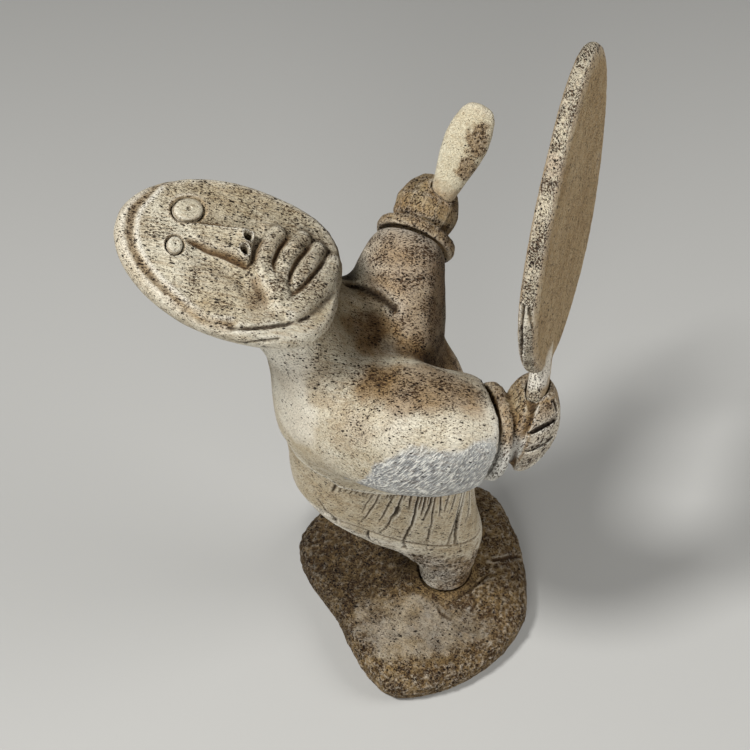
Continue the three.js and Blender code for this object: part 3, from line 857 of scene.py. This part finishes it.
def carve_skirt(s):
    """The fringe's cuts and the seam above the hem."""
    angle, height, on_body = body_places(s.points)
    angle = angle + 0.35 * lumps(s.points, 5, 61)
    depth, cut_grime_and_shade = np.zeros(len(angle)), np.zeros(len(angle))
    for line, wide, deep in FRINGE:
        away, share = beside_on_body(angle, height, line)
        cut = np.clip(1 - (away / wide) ** 2, 0, 1) * (1 - 0.6 * step_up(share, 0.6, 1))
        depth = np.maximum(depth, deep * cut)
        cut_grime_and_shade = np.maximum(cut_grime_and_shade, np.clip(1.3 * cut, 0, 1) * min(deep / 2, 1))
    for k, turn in enumerate(FAR_FRINGE):
        line = [(turn, 0.49), (turn - 3, 0.45), (turn - 5, 0.4 - 0.02 * (k % 3))]
        away, share = beside_on_body(angle, height, line)
        depth = np.maximum(depth, 1.6 * np.clip(1 - (away / 2.2) ** 2, 0, 1) * (1 - step_up(share, 0.7, 1)))
    away, _ = beside_on_body(angle, height, HEM)
    depth = np.maximum(depth, 1.1 * np.clip(1 - (away / 1.7) ** 2, 0, 1))
    s.sink(depth * on_body)
    # The fringe's cuts and the hem line are darkened with dirt and painted shade.
    s.paint("grime", 0.9 * cut_grime_and_shade * on_body)
    s.paint("grime", 0.25 * np.clip(1 - (away / 1.2) ** 2, 0, 1) * on_body)


def carve_foot(s):
    """The raw, spongy bone below the hem, which crumbles to a ragged edge."""
    angle, height, _ = body_places(s.points)
    worn = 1 - step_up(height + 0.022 * rough(s.points, 14, 77), 0.225, 0.285)
    raw = worn * step_up(s.points[:, 2], 33, 42)
    near_hem = 1 - step_up(height, 0.29, 0.32)
    holes = pores(s.points, 4.2, 71, 0.7) * 2.4 + pores(s.points, 2.6, 72, 0.6) * 1.2
    s.sink(raw * (holes + 0.8 * (1 + rough(s.points, 7, 73)) + 0.6), 0.5)
    s.sink(near_hem * (1 - raw) * (pores(s.points, 5, 74, 0.25) * 1.4))
    left = 1 - step_up(np.abs(np.abs(angle) - 150), 20, 42)
    bites = left * step_up(height, 0.2, 0.24) * (1 - step_up(height, 0.33, 0.36))
    s.sink(bites * pores(s.points * (1, 0.8, 0.8), 7, 76, 0.7, 0.3, 0.55) * 3.8)
    s.paint("white", 0.6 * bites)
    s.paint("pitted", 0.95 * worn)
    s.paint("brown", (0.35 + 0.45 * step_up(angle, -130, -95)) * worn)
    s.paint("calm", 1 - step_up(s.points[:, 2], 38, 42))
    s.paint("grime", 0.6 * raw * np.clip(holes * 0.5, 0, 1))
    near_side = 1 - step_up(angle, -88, -55)
    s.paint("white", 0.75 * near_hem * near_side * (0.6 + 0.4 * rough(s.points, 10, 75)))


# The cut that goes on from the hood's groove towards the chin.
CHEEK_GROOVE = [
    (-116.8, -51.6, 383.9),
    (-107.9, -49.4, 380.7),
    (-95.4, -44.1, 376.7),
    (-84.5, -38.6, 373.5),
    (-71.7, -30.7, 369.8),
]
# Creases and notches of the head and the body, as points on the skin, half width and depth.
BODY_CUTS = [
    (CHEEK_GROOVE, 1.5, 1.5),
    ([(-111.8, -51.8, 371.7), (-98.5, -52, 373.8), (-88, -48.2, 371.3)], 1.2, 1.0),
    ([(-49.5, 34.7, 332.3), (-40.9, 35.6, 326.7), (-27.7, 27.0, 327.1), (-17.8, 19.4, 322.7)], 2.6, 3.0),
]


def head_ring(down, across):
    """0 in the middle of the head's front and 1 on its outline, which is squarer at the chin."""
    x = (down - HEAD_MIDDLE[0]) / (HEAD_LENGTH / 2)
    z = (across - HEAD_MIDDLE[1]) / (HEAD_WIDTH / 2) / (1 + 0.07 * np.clip(x, -1, 1))
    power = 2 + 0.8 * np.clip(x / np.maximum(np.hypot(x, z), 1e-6), 0, 1)
    return (np.abs(x) ** power + np.abs(z) ** power) ** (1 / power)


def front_share(down, across, out):
    """1 on the head's front and 0 beyond its outline."""
    return (1 - step_up(head_ring(down, across), 0.9, 0.97)) * (out > -8)


def crown(down, across):
    """The front's low swelling, without the features of the face."""
    return 3 * np.maximum(0, 1 - head_ring(down, across) ** 2)


def even_front(s):
    """Lays an even skin over the head's front, and gives each point's new place on the face."""
    down, across, out = face_places(s.points)
    held = front_share(down, across, out)
    s.points = s.points + FACE_OUT * (held * (crown(down, across) - out))[:, None]
    for _ in range(14):
        move = s.around(s.points) - s.points
        move = move - np.outer(move @ FACE_OUT, FACE_OUT)
        s.points = s.points + move * (0.6 * held)[:, None]
    return face_places(s.points)


def model_face(s):
    """Gives the head's front a finer skin and the heights of face_relief."""
    down, across, out = even_front(s)
    s.finer((head_ring(down, across) < 1.06) & (out > -9))
    down, across, out = even_front(s)
    s.finer((np.hypot((down - 5) / 57, (across - 5) / 36) < 1) & (out > -1))
    s.smooth(2, keep_size=False)
    down, across, out = face_places(s.points)
    held = front_share(down, across, out)
    s.points = s.points + FACE_OUT * (held * (face_relief(down, across) - out))[:, None]
    s.smooth(1, keep_size=False)


# The eyes: middle down the face and across it, half length, half width and turn in degrees.
EYES = [((-36, -12.5), 10.3, 8, -37), ((-39.6, 14), 5, 5.8, 0)]
EYE_GAP = 0.55  # how much wider than the eye its seat is, all round
EYE_SEAT = 3.45  # how deep the seat lies
# Soft hollows of the face: [places down and across it], half width and depth.
HOLLOWS = [
    ([(-22, 17), (-6, 20), (5, 23), (14, 31), (20, 42)], 9, 2.4),
    ([(-27, -9), (-14, -11), (-2, -14), (8, -15)], 5, 1.6),
    ([(5, 12), (8, 0), (10, -14)], 5, 2.0),
]
NOSTRILS = [(1.7, -4.2), (1.3, 6)]
# The creases that part the four lips, as places down the face and across it.
LIP_CREASES = [
    [(29.6, -19), (26.6, -11.5), (22.8, -3), (21, 5), (20.8, 11), (23, 16)],
    [(43.6, -16), (40, -8), (36.2, -1), (33.4, 7), (32.4, 13), (34, 20)],
    [(54, -10), (50.8, -2), (47, 6), (43.2, 14), (38.6, 21.5), (35, 27)],
]
# The creases beside the nose, near the viewer and on the far side.
NEAR_NOSE_CREASE = [(-26.8, 9.7), (-18.7, 11.2), (-12.7, 11.4), (-6.7, 12), (-0.5, 13.2)]
FAR_NOSE_CREASE = [(-28, -6), (-17.5, -8), (-8, -9.5), (0, -10.5)]
# Cuts of the face: [places down and across it], half width and depth.
FACE_CUTS = [
    ([(6, 54.6), (20.4, 51.2), (31.6, 46), (42, 40.5)], 0.9, 1.1),
    ([(10.4, 58), (21.6, 54.6), (33, 50)], 0.8, 0.6),
    ([(-36, 8), *NEAR_NOSE_CREASE, (5.7, 14)], 1.7, 1.9),
    (FAR_NOSE_CREASE, 1.4, 1.2),
    ([(9.5, 16), (12, 21), (16, 27), (19, 31)], 2.2, 1.2),
    (LIP_CREASES[0], 1.5, 1.5),
    (LIP_CREASES[1], 1.5, 1.5),
    (LIP_CREASES[2], 1.5, 1.3),
]


def face_relief(down, across):
    """The carved face: how far each place stands out of the face's plane."""
    height = crown(down, across)
    for line, wide, deep in HOLLOWS:
        away, _, _ = beside(down, across, line)
        height = height - deep * (1 - step_up(away, 0, wide))
    height = soft_max(height, nose(down, across), 1.5)
    height = soft_max(height, muzzle(down, across), 2.5)
    for p, q in NOSTRILS:
        away = np.hypot(down - p, across - q)
        height = height - 7 * (1 - step_up(away, 2.1, 3.3)) + 0.6 * np.exp(-(((away - 4.1) / 1.1) ** 2))
    for line, wide, deep in FACE_CUTS:
        away, _, share = beside(down, across, line)
        faded = np.clip(6 * share * (1 - share), 0, 1)
        height = height - deep * np.clip(1 - (away / wide) ** 2, 0, 1) * faded
    for (p, q), long, wide, turn in EYES:
        ring = eye_ring(down - p, across - q, long + EYE_GAP, wide + EYE_GAP, turn)
        height = np.where(ring < 1, np.minimum(height, crown(down, across) - EYE_SEAT), height)
        height = height + 0.5 * np.exp(-(((ring - 1.22) / 0.12) ** 2))
    return height


def eye_ring(down, across, long, wide, turn):
    """1 on an eye's outline and 0 in its middle."""
    c, s = math.cos(math.radians(turn)), math.sin(math.radians(turn))
    return np.hypot((down * c + across * s) / long, (across * c - down * s) / wide)


# The nose: places down it with its far edge, near edge and height.
NOSE_DOWN = [-38, -34, -29, -25, -19, -16, -11, -7, -2, 3, 5.5, 7.5]
NOSE_FAR = [-1.5, -3, -4.2, -4.8, -5.6, -6, -6.6, -7.2, -7.8, -8.6, -8.6, -7.6]
NOSE_NEAR = [7, 9.3, 10.5, 11, 12.4, 12.6, 12.9, 13.3, 14.2, 15, 15, 13.4]
NOSE_HIGH = [2.6, 4.2, 5.4, 6.2, 7.2, 7.8, 8.8, 9.6, 10.2, 9.4, 8, 3]


def nose(down, across):
    """A wedge with a flat back, steep on the far side and sloping to a crease on the near side."""
    far, near, top = (np.interp(down, NOSE_DOWN, edge) for edge in (NOSE_FAR, NOSE_NEAR, NOSE_HIGH))
    slope = np.clip((near - across) / 6.5, 0, 1)
    wall = np.minimum(1 - (1 - slope) ** 2, step_up(across - far, -2.6, 1.2))
    middle = (across - far) / (near - far) - 0.42
    top = top - step_up(down, -22, -4) * 0.9 * np.clip(1 - (middle / 0.3) ** 2, 0, 1)
    wings = 0.8 * np.exp(-(((down + 3) / 4) ** 2) - ((across + 5) / 3.2) ** 2)
    return np.where(down < NOSE_DOWN[0], -20, top + wings - 1.15 * (top - 1.5) * (1 - wall))


# The lip next to the nose, as places down the face and across it.
TOP_LIP = [(20.5, -16), (18.4, -10), (16.4, -3.5), (15, 3.5), (14.4, 9), (14.8, 15), (17, 21)]
# The four lips: [places along the crest], height at its far end and along it, and half width towards
# the crown and towards the chin.
LIPS = [
    (TOP_LIP, 7.4, 9.6, 5.8, 7.4),
    ([(37.4, -18), (34.2, -12.5), (29.8, -2), (27.6, 6.5), (27, 14)], 7.6, 10.4, 6.2, 6.8),
    ([(48.4, -14), (46.2, -7.5), (43, 1), (39.4, 10), (36.8, 17)], 7.2, 10, 6.2, 6.8),
    ([(59, -9), (56.5, -1.5), (51.8, 8.5), (46.2, 17.5), (41, 25), (35.5, 31.5)], 5.8, 8.4, 5.8, 11),
]
# The crest on which the lips run together.
MUZZLE_BODY = [(18, 14), (23, 20), (28, 26), (31, 31)]


def muzzle(down, across):
    """Four finger-like lips that fan out over a low swelling and run together on the near side."""
    dome = 6.2 - 6.2 * np.hypot((down - 35) / 29, (across - 3) / 28) ** 3
    away, _, share = beside(down, across, MUZZLE_BODY)
    height = soft_max(dome, 9.2 - 9 * (away / 11.5) ** 3 - 2.5 * step_up(share, 0.6, 1), 3)
    for line, start, top, before, after in LIPS:
        away, side, share = beside(down, across, line)
        reach = (before + after) / 2 + (after - before) / 2 * side
        crest = start + (top - start) * step_up(share, 0, 0.4) - 1.2 * step_up(share, 0.8, 1)
        round_side = 1 - np.sqrt(np.maximum(1 - (away / reach) ** 2, 0))
        height = soft_max(height, crest - (7.5 * round_side + 9 * np.maximum(away / reach - 1, 0)), 0.8)
    return height


# Middles and reaches of the figure's patches.
CHEST = [[(-1, 17, 312), (38, 36, 38)], [(20, 14, 275), (36, 40, 34)], [(-30, 2, 322), (26, 22, 16)]]
FAR_SLEEVE = [[(-10, 44, 340), (38, 34, 30)], [(8, 52, 325), (26, 30, 34)], [(0, 64, 325), (56, 48, 62)]]
SLEEVE_TOP = [[(18, -32, 305), (48, 26, 15)], [(-14, -36, 311), (40, 24, 13)]]
SHOULDER = [[(-70, -40, 322), (26, 24, 26)], [(-46, -50, 290), (20, 20, 24)]]
BACK = [[(-84, -44, 285), (40, 50, 60)], [(-80, 10, 300), (40, 40, 60)], [(-95, 20, 240), (40, 60, 60)]]
WORN_AND_HIGHLIGHT_BACK = [[(-88, -40, 300), (22, 40, 60)], [(-96, -30, 340), (20, 30, 40)]]
# The polished patch of the near sleeve, whose grey is a painted sheen: forward places and the height of its
# upper border there.
SHEEN_TOP = [
    (-45, 236),
    (-38, 256),
    (-30, 276),
    (-20, 290),
    (-8, 294),
    (8, 294),
    (20, 294),
    (32, 293),
    (46, 289),
]
# Dirt and painted shade in the face's creases: [places down and across it], reach and strength.
FACE_DIRT_AND_SHADE = [
    ([(-70, 4), (-67, -8), (-61, -18), (-54, -26), (-46, -31)], 3, 0.6),
    ([(-37, 8), *NEAR_NOSE_CREASE, (6, 14), (9, 10)], 1.9, 1.0),
    ([*FAR_NOSE_CREASE, (5, -10)], 1.6, 0.7),
    ([(9, 13), (9.5, 6), (10.5, 0), (13, -8)], 1.6, 0.8),
    (LIP_CREASES[0], 1.7, 1.0),
    (LIP_CREASES[1], 1.7, 1.0),
    (LIP_CREASES[2], 1.7, 0.8),
    ([(10, 18), (14, 25), (19, 31.5), (24, 37)], 3.4, 0.7),
]


def paint_figure(s):
    """Pits, stains, wear, painted shade and painted highlights, from the whole figure to its small places.
    """
    paint_body(s)
    paint_face(s)
    paint_sheen(s)
    paint_eye_seats(s)


def paint_body(s):
    """The stained and pitted chest, far sleeve and sleeve top, with painted shade on the chest and under
    the near sleeve, and the lighter, smoother back, worn and with a painted highlight.
    """
    p = s.points
    angle, height, on_body = body_places(p)
    s.paint("pitted", np.full(len(p), 0.45))
    s.paint("pitted", 0.66 * blob(p, FACE_CENTRE, (95, 75, 75)))
    s.paint("pitted", 0.95 * blobs(p, CHEST + FAR_SLEEVE + SLEEVE_TOP, 0.35, 60))
    s.paint("pitted", 0.62 * blobs(p, SHOULDER, 0.4, 65))
    s.masks["pitted"] = s.masks["pitted"] * (1 - 0.45 * blobs(p, BACK, 0.3, 80))
    s.paint("brown", 0.15 + 0.12 * rough(p, 22, 47))
    # Stains and painted shade on the chest between the head and the arms.
    s.paint("brown", 0.9 * blobs(p, CHEST, 0.25, 40))
    s.paint("brown", 1.1 * blobs(p, FAR_SLEEVE, 0.15, 45) * (0.85 + 0.15 * rough(p, 14, 46)))
    s.paint("brown", 0.85 * blobs(p, SLEEVE_TOP, 0.2, 50))
    s.paint("brown", 0.4 * blobs(p, SHOULDER, 0.4, 55))
    # Wear and a painted highlight on the back's near side.
    s.paint("white", 0.5 * blobs(p, WORN_AND_HIGHLIGHT_BACK, 0.4, 95))
    skirt = on_body * (height < 0.5)
    # Painted shadow of the near sleeve on the skirt, just below the parka's edge.
    under_parka = step_up(height, 0.39, 0.47) * step_up(angle, -84, -70) * (1 - step_up(angle, -50, -44))
    s.paint("brown", 0.55 * skirt * under_parka)
    s.paint("brown", 0.3 * skirt)


def paint_face(s):
    """Soiling and painted shade in the creases, painted shade in the cheek hollow beside the lips, and a
    stain on the brow.
    """
    p = s.points
    down, across, out = face_places(p)
    front = out > -4
    face = front * (1 - step_up(np.hypot((down - 4) / 78, (across - 6) / 58), 0.9, 1))
    for line, wide, strong in FACE_DIRT_AND_SHADE:
        away, _, share = beside(down, across, line)
        spread = np.exp(-((away / wide) ** 2)) * np.clip(7 * share * (1 - share), 0, 1)
        s.paint("brown", front * strong * spread)
        s.paint("grime", front * strong * 0.55 * spread**2 * (0.6 + 0.4 * rough(p, 5, 99)))
    near_lips = np.exp(-(((down - 16) / 9) ** 2) - ((across - 34) / 13) ** 2)
    brow = np.exp(-(((down + 66) / 9) ** 2) - ((across - 2) / 30) ** 2)
    # Painted shade in the cheek hollow beside the lips, and a stain on the brow.
    s.paint("brown", face * (0.55 * near_lips + 0.35 * brow))
    on_muzzle = np.hypot((down - 36) / 30, across / 30) < 1
    s.paint("pitted", face * (0.95 * near_lips + 0.8 * on_muzzle))


def paint_sheen(s):
    """The polished patch of the near sleeve, where the pits are mostly closed; its grey is a painted sheen.
    """
    p = s.points
    side = (p[:, 1] < -44) & (p[:, 0] > -52) & (p[:, 0] < 47) & (p[:, 2] > 226)
    below_top = np.interp(p[:, 0], *np.transpose(SHEEN_TOP)) + 5 * rough(p, 13, 91) - p[:, 2]
    s.paint("grey", side * step_up(below_top, -2, 5))
    s.masks["pitted"] = s.masks["pitted"] * (1 - 0.7 * s.masks["grey"])


def paint_eye_seats(s):
    """A painted shadow round each eye, where the edge wear is held back."""
    down, across, out = face_places(s.points)
    for (p, q), long, wide, turn in EYES:
        ring = eye_ring(down - p, across - q, long + EYE_GAP, wide + EYE_GAP, turn)
        s.paint("calm", (out > -6) * (1 - step_up(ring, 1.1, 1.3)))
        s.paint("brown", 0.5 * (out > -6) * np.exp(-(((ring - 1.12) / 0.16) ** 2)))


# Other pieces


# Cracks of the base, as points on its top, half width and depth.
BASE_CUTS = [
    ([(91, 21, 25), (83, 18, 28), (75, 13, 31), (66, 11, 32)], 1.8, 2.0),
    ([(63, -2, 33), (58, -4, 33.5), (52, -11, 33), (45, -17, 33), (33, -25, 31)], 1.6, 2.2),
    ([(45, -17, 33), (49, -26, 32), (46, -34, 31)], 1.3, 1.6),
    ([(20, -31, 32), (22, -38, 31), (30, -42, 31)], 1.2, 1.4),
]
# The figure's foot on the base: its middle, and its half depth and half width. Below them the middle
# and the reach of the patch that is worn smooth.
FOOT_MIDDLE = (25, 8)
FOOT_REACH = (23, 27)
WORN_PATCH = [(0, -52, 30), (60, 33, 16)]


def base():
    """A rough slab of spongy bone with a worn, smooth patch beside the figure."""
    s = Surface("base", 1.35)
    foot = np.hypot(*((s.points[:, :2] - FOOT_MIDDLE) / FOOT_REACH).T)
    s.smooth(18, 0.02 + 0.98 * step_up(foot, 1.15, 1.4))
    p = s.points
    shown = step_up(s.normals()[:, 2], -0.85, -0.3) * step_up(foot, 1.02, 1.14)
    patch = blob(p, *WORN_PATCH, 0.35, 22)
    raw = shown * (1 - 0.7 * patch)
    furrows = 1 - np.abs(rough(p, 9, 23))
    holes = pores(p * (1, 1, 0.6), 3.4, 24, 0.5) * 1.1 + pores(p, 2.5, 25, 0.8) * 1.0
    s.sink(raw * (0.2 + 0.9 * furrows + 1.2 * holes + 0.8 * (1 + rough(p, 3, 26)) * 0.6))
    s.sink(shown * 0.9 * (1 + rough(p, 34, 27)) * 0.5)
    s.paint("grime", 0.75 * raw * np.clip(holes - 0.35, 0, 1))
    for line, wide, deep in BASE_CUTS:
        s.score(line, wide, deep, 0.45, 1.6)
    s.paint("pitted", 0.95 * (1 - 0.55 * patch))
    s.paint("brown", 0.3 * (1 - 0.9 * patch))
    s.paint("white", 0.3 * patch * (0.6 + 0.4 * rough(p, 12, 28)))
    # Painted shadow of the figure on the base's left part, under its overhang.
    s.paint("grime", 0.5 * blob(p, (-70, 30, 25), (90, 110, 40), 0.3, 29) * (1 - patch))
    s.paint("calm", 1 - step_up(foot, 1.15, 1.4))
    return s


# The fingers of the right fist: where their tips lie on the palm, and the slits between them.
FINGER_TIPS = [
    (76, -36, 302),
    (74.5, -39.2, 299.3),
    (72.6, -43.6, 293.4),
    (70.8, -47.1, 286.3),
    (68.3, -49.3, 279.6),
    (64.4, -50.2, 272.6),
    (63.3, -50.8, 263.8),
    (62.8, -50.7, 251.4),
    (63.1, -50, 240),
]
SLITS = [
    ([(68, -50.4, 278.4), (75, -46.3, 279.9), (80.8, -44, 281.7), (86.5, -41, 282.6)], 1.3, 2.6),
    ([(68.4, -52.2, 263.1), (74.5, -50.4, 265), (80.9, -49.2, 268.2), (84.5, -46, 269.6)], 1.2, 2.2),
    ([(66.5, -50.5, 243), (71.7, -50.7, 246.9), (76.5, -50, 251)], 1.1, 1.8),
    ([(84.7, -36.7, 296.5), (86.4, -37.2, 292.3), (87.4, -38.1, 288.5)], 1.2, 1.8),
]


def right_fingers(s):
    """The palm side is sunk behind the fingertips and gets painted shade there, and slits part the fingers.
    """
    tips = np.array(FINGER_TIPS)
    p = s.points
    edge = np.stack([np.interp(p[:, 2], tips[::-1, 2], tips[::-1, k]) for k in (0, 1)], axis=1)
    behind = edge[:, 0] - p[:, 0] + 0.25 * (edge[:, 1] - p[:, 1])
    middle, line = RIGHT_SLEEVE_END
    palm = step_up((p - middle) @ line, 9, 15) * (p[:, 1] < -20) * (p[:, 2] < 298)
    s.sink(3.2 * palm * step_up(behind, -0.4, 1.6) * (1 - step_up(behind, 9, 20)))
    s.masks["palm"] = palm * step_up(behind, 0, 2)
    s.paint("grime", 0.35 * palm * step_up(behind, 0, 1.5) * (1 - step_up(behind, 2, 7)))
    for line, wide, deep in SLITS:
        s.score(line, wide, deep, 0.9, 0.3)


def hand(node):
    """A fist with its rolled cuff. The right one's fingers show, so they are carved further."""
    s = Surface(node, 0.85)
    s.smooth(8)
    if node == "right_hand":
        right_fingers(s)
    weather(s, deep=0.4, size=14, fine_deep=0.35, fine_size=3.5, seed=33)
    s.paint("pitted", np.full(len(s.points), 0.85))
    s.paint("brown", 0.55 + 0.45 * rough(s.points, 16, 35))
    if node == "right_hand":
        paint_right_hand(s)
    s.sink(pores(s.points, 3, seed=34, share=0.4, least=0.18, most=0.38) * 0.9, 0.8)
    return s


def paint_right_hand(s):
    """The palm gets painted shade, while the low side of the cuff and the fingers get painted light."""
    p = s.points
    middle, line = RIGHT_SLEEVE_END
    along = (p - middle) @ line
    palm = s.masks.pop("palm")
    low_cuff = (1 - step_up(along, 13, 15)) * (1 - step_up(p[:, 2] + 0.25 * p[:, 1], 250, 268))
    fingers = step_up(along, 15, 17) * (1 - palm) * (1 - step_up(p[:, 2], 282, 300))
    s.paint("brown", palm)
    s.masks["brown"] = s.masks["brown"] * (1 - 0.95 * np.maximum(low_cuff, 0.8 * fingers))
    # Painted light on the low side of the cuff and on the fingers.
    s.paint("grey", 0.6 * low_cuff)
    s.paint("white", np.maximum(0.8 * low_cuff, 0.45 * fingers))


# The drum's directions: out of its face, and from its handle to its top. Its pores are drawn out that
# way by the shift in DRUM_DRAWN.
DRUM_OUT = unit(point(0.94, -0.32, 0.06))
DRUM_UP = point(0.0995, 0.4478, 0.8886)
DRUM_DRAWN = point(0.05, 0.22, 0.44)
# A small notch in the far edge of the drum.
DRUM_NOTCH = [(114.5, 88.5, 393), (114.3, 86.5, 391)]
# Slots worn into the drum's near edge, as points on it, half width and depth.
DRUM_SLOTS = [
    ([(54.6, -59, 411), (54.9, -61.5, 398), (55.6, -61, 385), (57, -57, 366), (60, -50, 350)], 1.4, 2.2),
    ([(57.3, -60.5, 412), (58, -62.5, 398), (58.6, -61, 380), (60, -55, 360)], 1.1, 1.8),
]


def drum():
    """A flat plate with a pored rim, a worn corner round its face and two long slots."""
    s = Surface("drum", 1.25)
    s.smooth(14)
    weather(s, deep=0.7, size=34, fine_deep=0.25, fine_size=4, seed=41)
    p = s.points
    facing = np.abs(s.normals() @ DRUM_OUT)
    facing = s.blur(facing, 4)
    rim = 1 - step_up(facing, 0.6, 0.85)
    corner = np.clip(1 - np.abs(facing - 0.72) / 0.16, 0, 1)
    drawn = p - np.outer(p @ DRUM_UP, DRUM_DRAWN)
    holes = pores(drawn, 2.8, seed=42, share=0.45, least=0.2, most=0.42)
    s.sink(holes * 1.2 * np.clip(0.35 * rim + corner, 0, 1), 0.9)
    for line, wide, deep in DRUM_SLOTS:
        s.score(line, wide, deep, 1.0, 0.6)
    s.score(DRUM_NOTCH, 2.4, 1.6, 0.0)
    s.paint("pitted", 0.62 * rim + 0.5 * corner + 0.42)
    s.paint("brown", 0.55 * (1 - rim) + 0.4 * corner)
    s.paint("brown", 0.8 * blob(p, (63, -13, 474), (14, 12, 12), 0.5, 43))
    s.paint("white", 0.15 * rim)
    s.paint("white", 0.8 * blob(p, (75, -28, 318), (16, 16, 22), 0.3, 44))
    return s


# Middles and reaches of the beater's crumbled patch.
CRUMBLED = [[(38, 103, 394), (9, 9, 18)], [(30, 99, 378), (8, 8, 14)]]


def beater():
    """A smooth paddle with a crumbled patch near its top."""
    s = Surface("beater", 0.9)
    s.smooth(36)
    p = s.points
    worn = blobs(p, CRUMBLED, 0.4, 52)
    weather(s, deep=0.3, size=16, fine_deep=0.15, fine_size=3, seed=51)
    s.sink(worn * pores(s.points, 3, seed=53, share=0.7), 0.8)
    s.paint("pitted", 0.05 + 0.85 * worn)
    s.paint("brown", 0.75 * worn)
    # Painted shade on the beater's low end, in front of the fist.
    s.paint("brown", 0.7 * blob(p, (12, 99, 348), (20, 20, 14), 0.3, 54))
    return s


def eye(node):
    """A flat disc with a worn, rounded rim."""
    s = Surface(node, 0.45)
    s.smooth(3)
    (p, q), long, wide, turn = EYES[0] if node == "left_eye" else EYES[1]
    down, across, out = face_places(s.points)
    ring = eye_ring(down - p, across - q, long, wide, turn)
    s.points = s.points - FACE_OUT * ((out > 1) * (0.5 + 1.1 * step_up(ring, 0.62, 1)))[:, None]
    s.paint("pitted", np.full(len(s.points), 0.25))
    s.paint("brown", 0.5 * step_up(ring, 0.8, 1))
    return s


# Materials and pieces

FIGURE_BONE = bone("figure_bone", rgb(209, 203, 182), rgb(176, 161, 129), (0, -22, -5))
BASE_BONE = bone(
    "base_bone",
    rgb(130, 110, 73),
    rgb(78, 62, 37),
    (0, 0, 30),
    across=600,
    stretch=0.75,
    roughness=0.92,
    worn=0.35,
    relief=2,
)
HAND_BONE = bone("hand_bone", rgb(172, 156, 122), rgb(122, 98, 64), (0, 60, 0))
DRUM_BONE = bone("drum_bone", rgb(178, 164, 130), rgb(138, 121, 86), (0, 63, 77), streaks=0.75)
BEATER_BONE = bone("beater_bone", rgb(208, 200, 174), rgb(188, 175, 143), (0, 70, 35))
EYE_BONE = bone("eye_bone", rgb(200, 193, 172), rgb(180, 170, 144), roughness=0.55)

figure().finish(FIGURE_BONE, "body_bone")
base().finish(BASE_BONE, "base_bone")
for side_hand in ("right_hand", "left_hand"):
    hand(side_hand).finish(HAND_BONE, "hand_bone")
drum().finish(DRUM_BONE, "drum_bone")
beater().finish(BEATER_BONE, "drum_bone")
for side_eye in ("left_eye", "right_eye"):
    eye(side_eye).finish(EYE_BONE, "eye_bone")

# Room: floor, light and camera

FLOOR_GREY = rgb(176, 175, 171)
# Lights: place and target in metres, size across and power in watts.
LIGHTS = [
    ("key", (-0.95, -0.38, 1.85), (0, 0, 0.25), 0.4, 38),
    ("fill", (1.3, -0.1, 1.0), (0, 0, 0.25), 0.9, 13),
    ("front", (-0.3, -1.5, 0.75), (0, 0, 0.2), 0.7, 13),
]
ROOM_LIGHT = 0.05
# The camera's place in metres, and its lens and sensor in millimetres.
CAMERA_PLACE = (-0.031, -0.6053, 1.0007)
CAMERA_TILT = math.radians(40)
CAMERA_LENS, CAMERA_SENSOR = 67.2, 36


def floor():
    """A plain pale sheet, which isn't part of the object."""
    bpy.ops.mesh.primitive_plane_add(size=12, location=(0, 0, 0))
    plane = bpy.context.object
    plane.name = "floor"
    material = bpy.data.materials.new("floor_paper")
    material.use_nodes = True
    shader = material.node_tree.nodes["Principled BSDF"]
    shader.inputs["Base Color"].default_value = FLOOR_GREY
    shader.inputs["Roughness"].default_value = 0.9
    plane.data.materials.append(material)


def soft_light(name, place, target, size, power):
    light = bpy.data.lights.new(name, "AREA")
    light.shape = "DISK"
    light.size = size
    light.energy = power
    lamp = bpy.data.objects.new(name, light)
    lamp.location = place
    lamp.rotation_euler = (Vector(target) - Vector(place)).to_track_quat("-Z", "Y").to_euler()
    bpy.context.scene.collection.objects.link(lamp)


def room():
    """An even white surrounding, so faint that it only lifts the shadows."""
    world = bpy.data.worlds.new("room")
    world.use_nodes = True
    background = world.node_tree.nodes["Background"]
    background.inputs["Color"].default_value = (1, 1, 1, 1)
    background.inputs["Strength"].default_value = ROOM_LIGHT
    bpy.context.scene.world = world
    bpy.context.scene.view_settings.view_transform = "Standard"


def camera():
    """The photograph's view, from above and from the figure's right."""
    lens = bpy.data.cameras.new("camera")
    lens.lens = CAMERA_LENS
    lens.sensor_width = CAMERA_SENSOR
    lens.clip_start, lens.clip_end = 0.01, 100
    holder = bpy.data.objects.new("camera", lens)
    holder.location = CAMERA_PLACE
    holder.rotation_euler = (CAMERA_TILT, 0, 0)
    bpy.context.scene.collection.objects.link(holder)
    bpy.context.scene.camera = holder


floor()
for light_row in LIGHTS:
    soft_light(*light_row)
room()
camera()
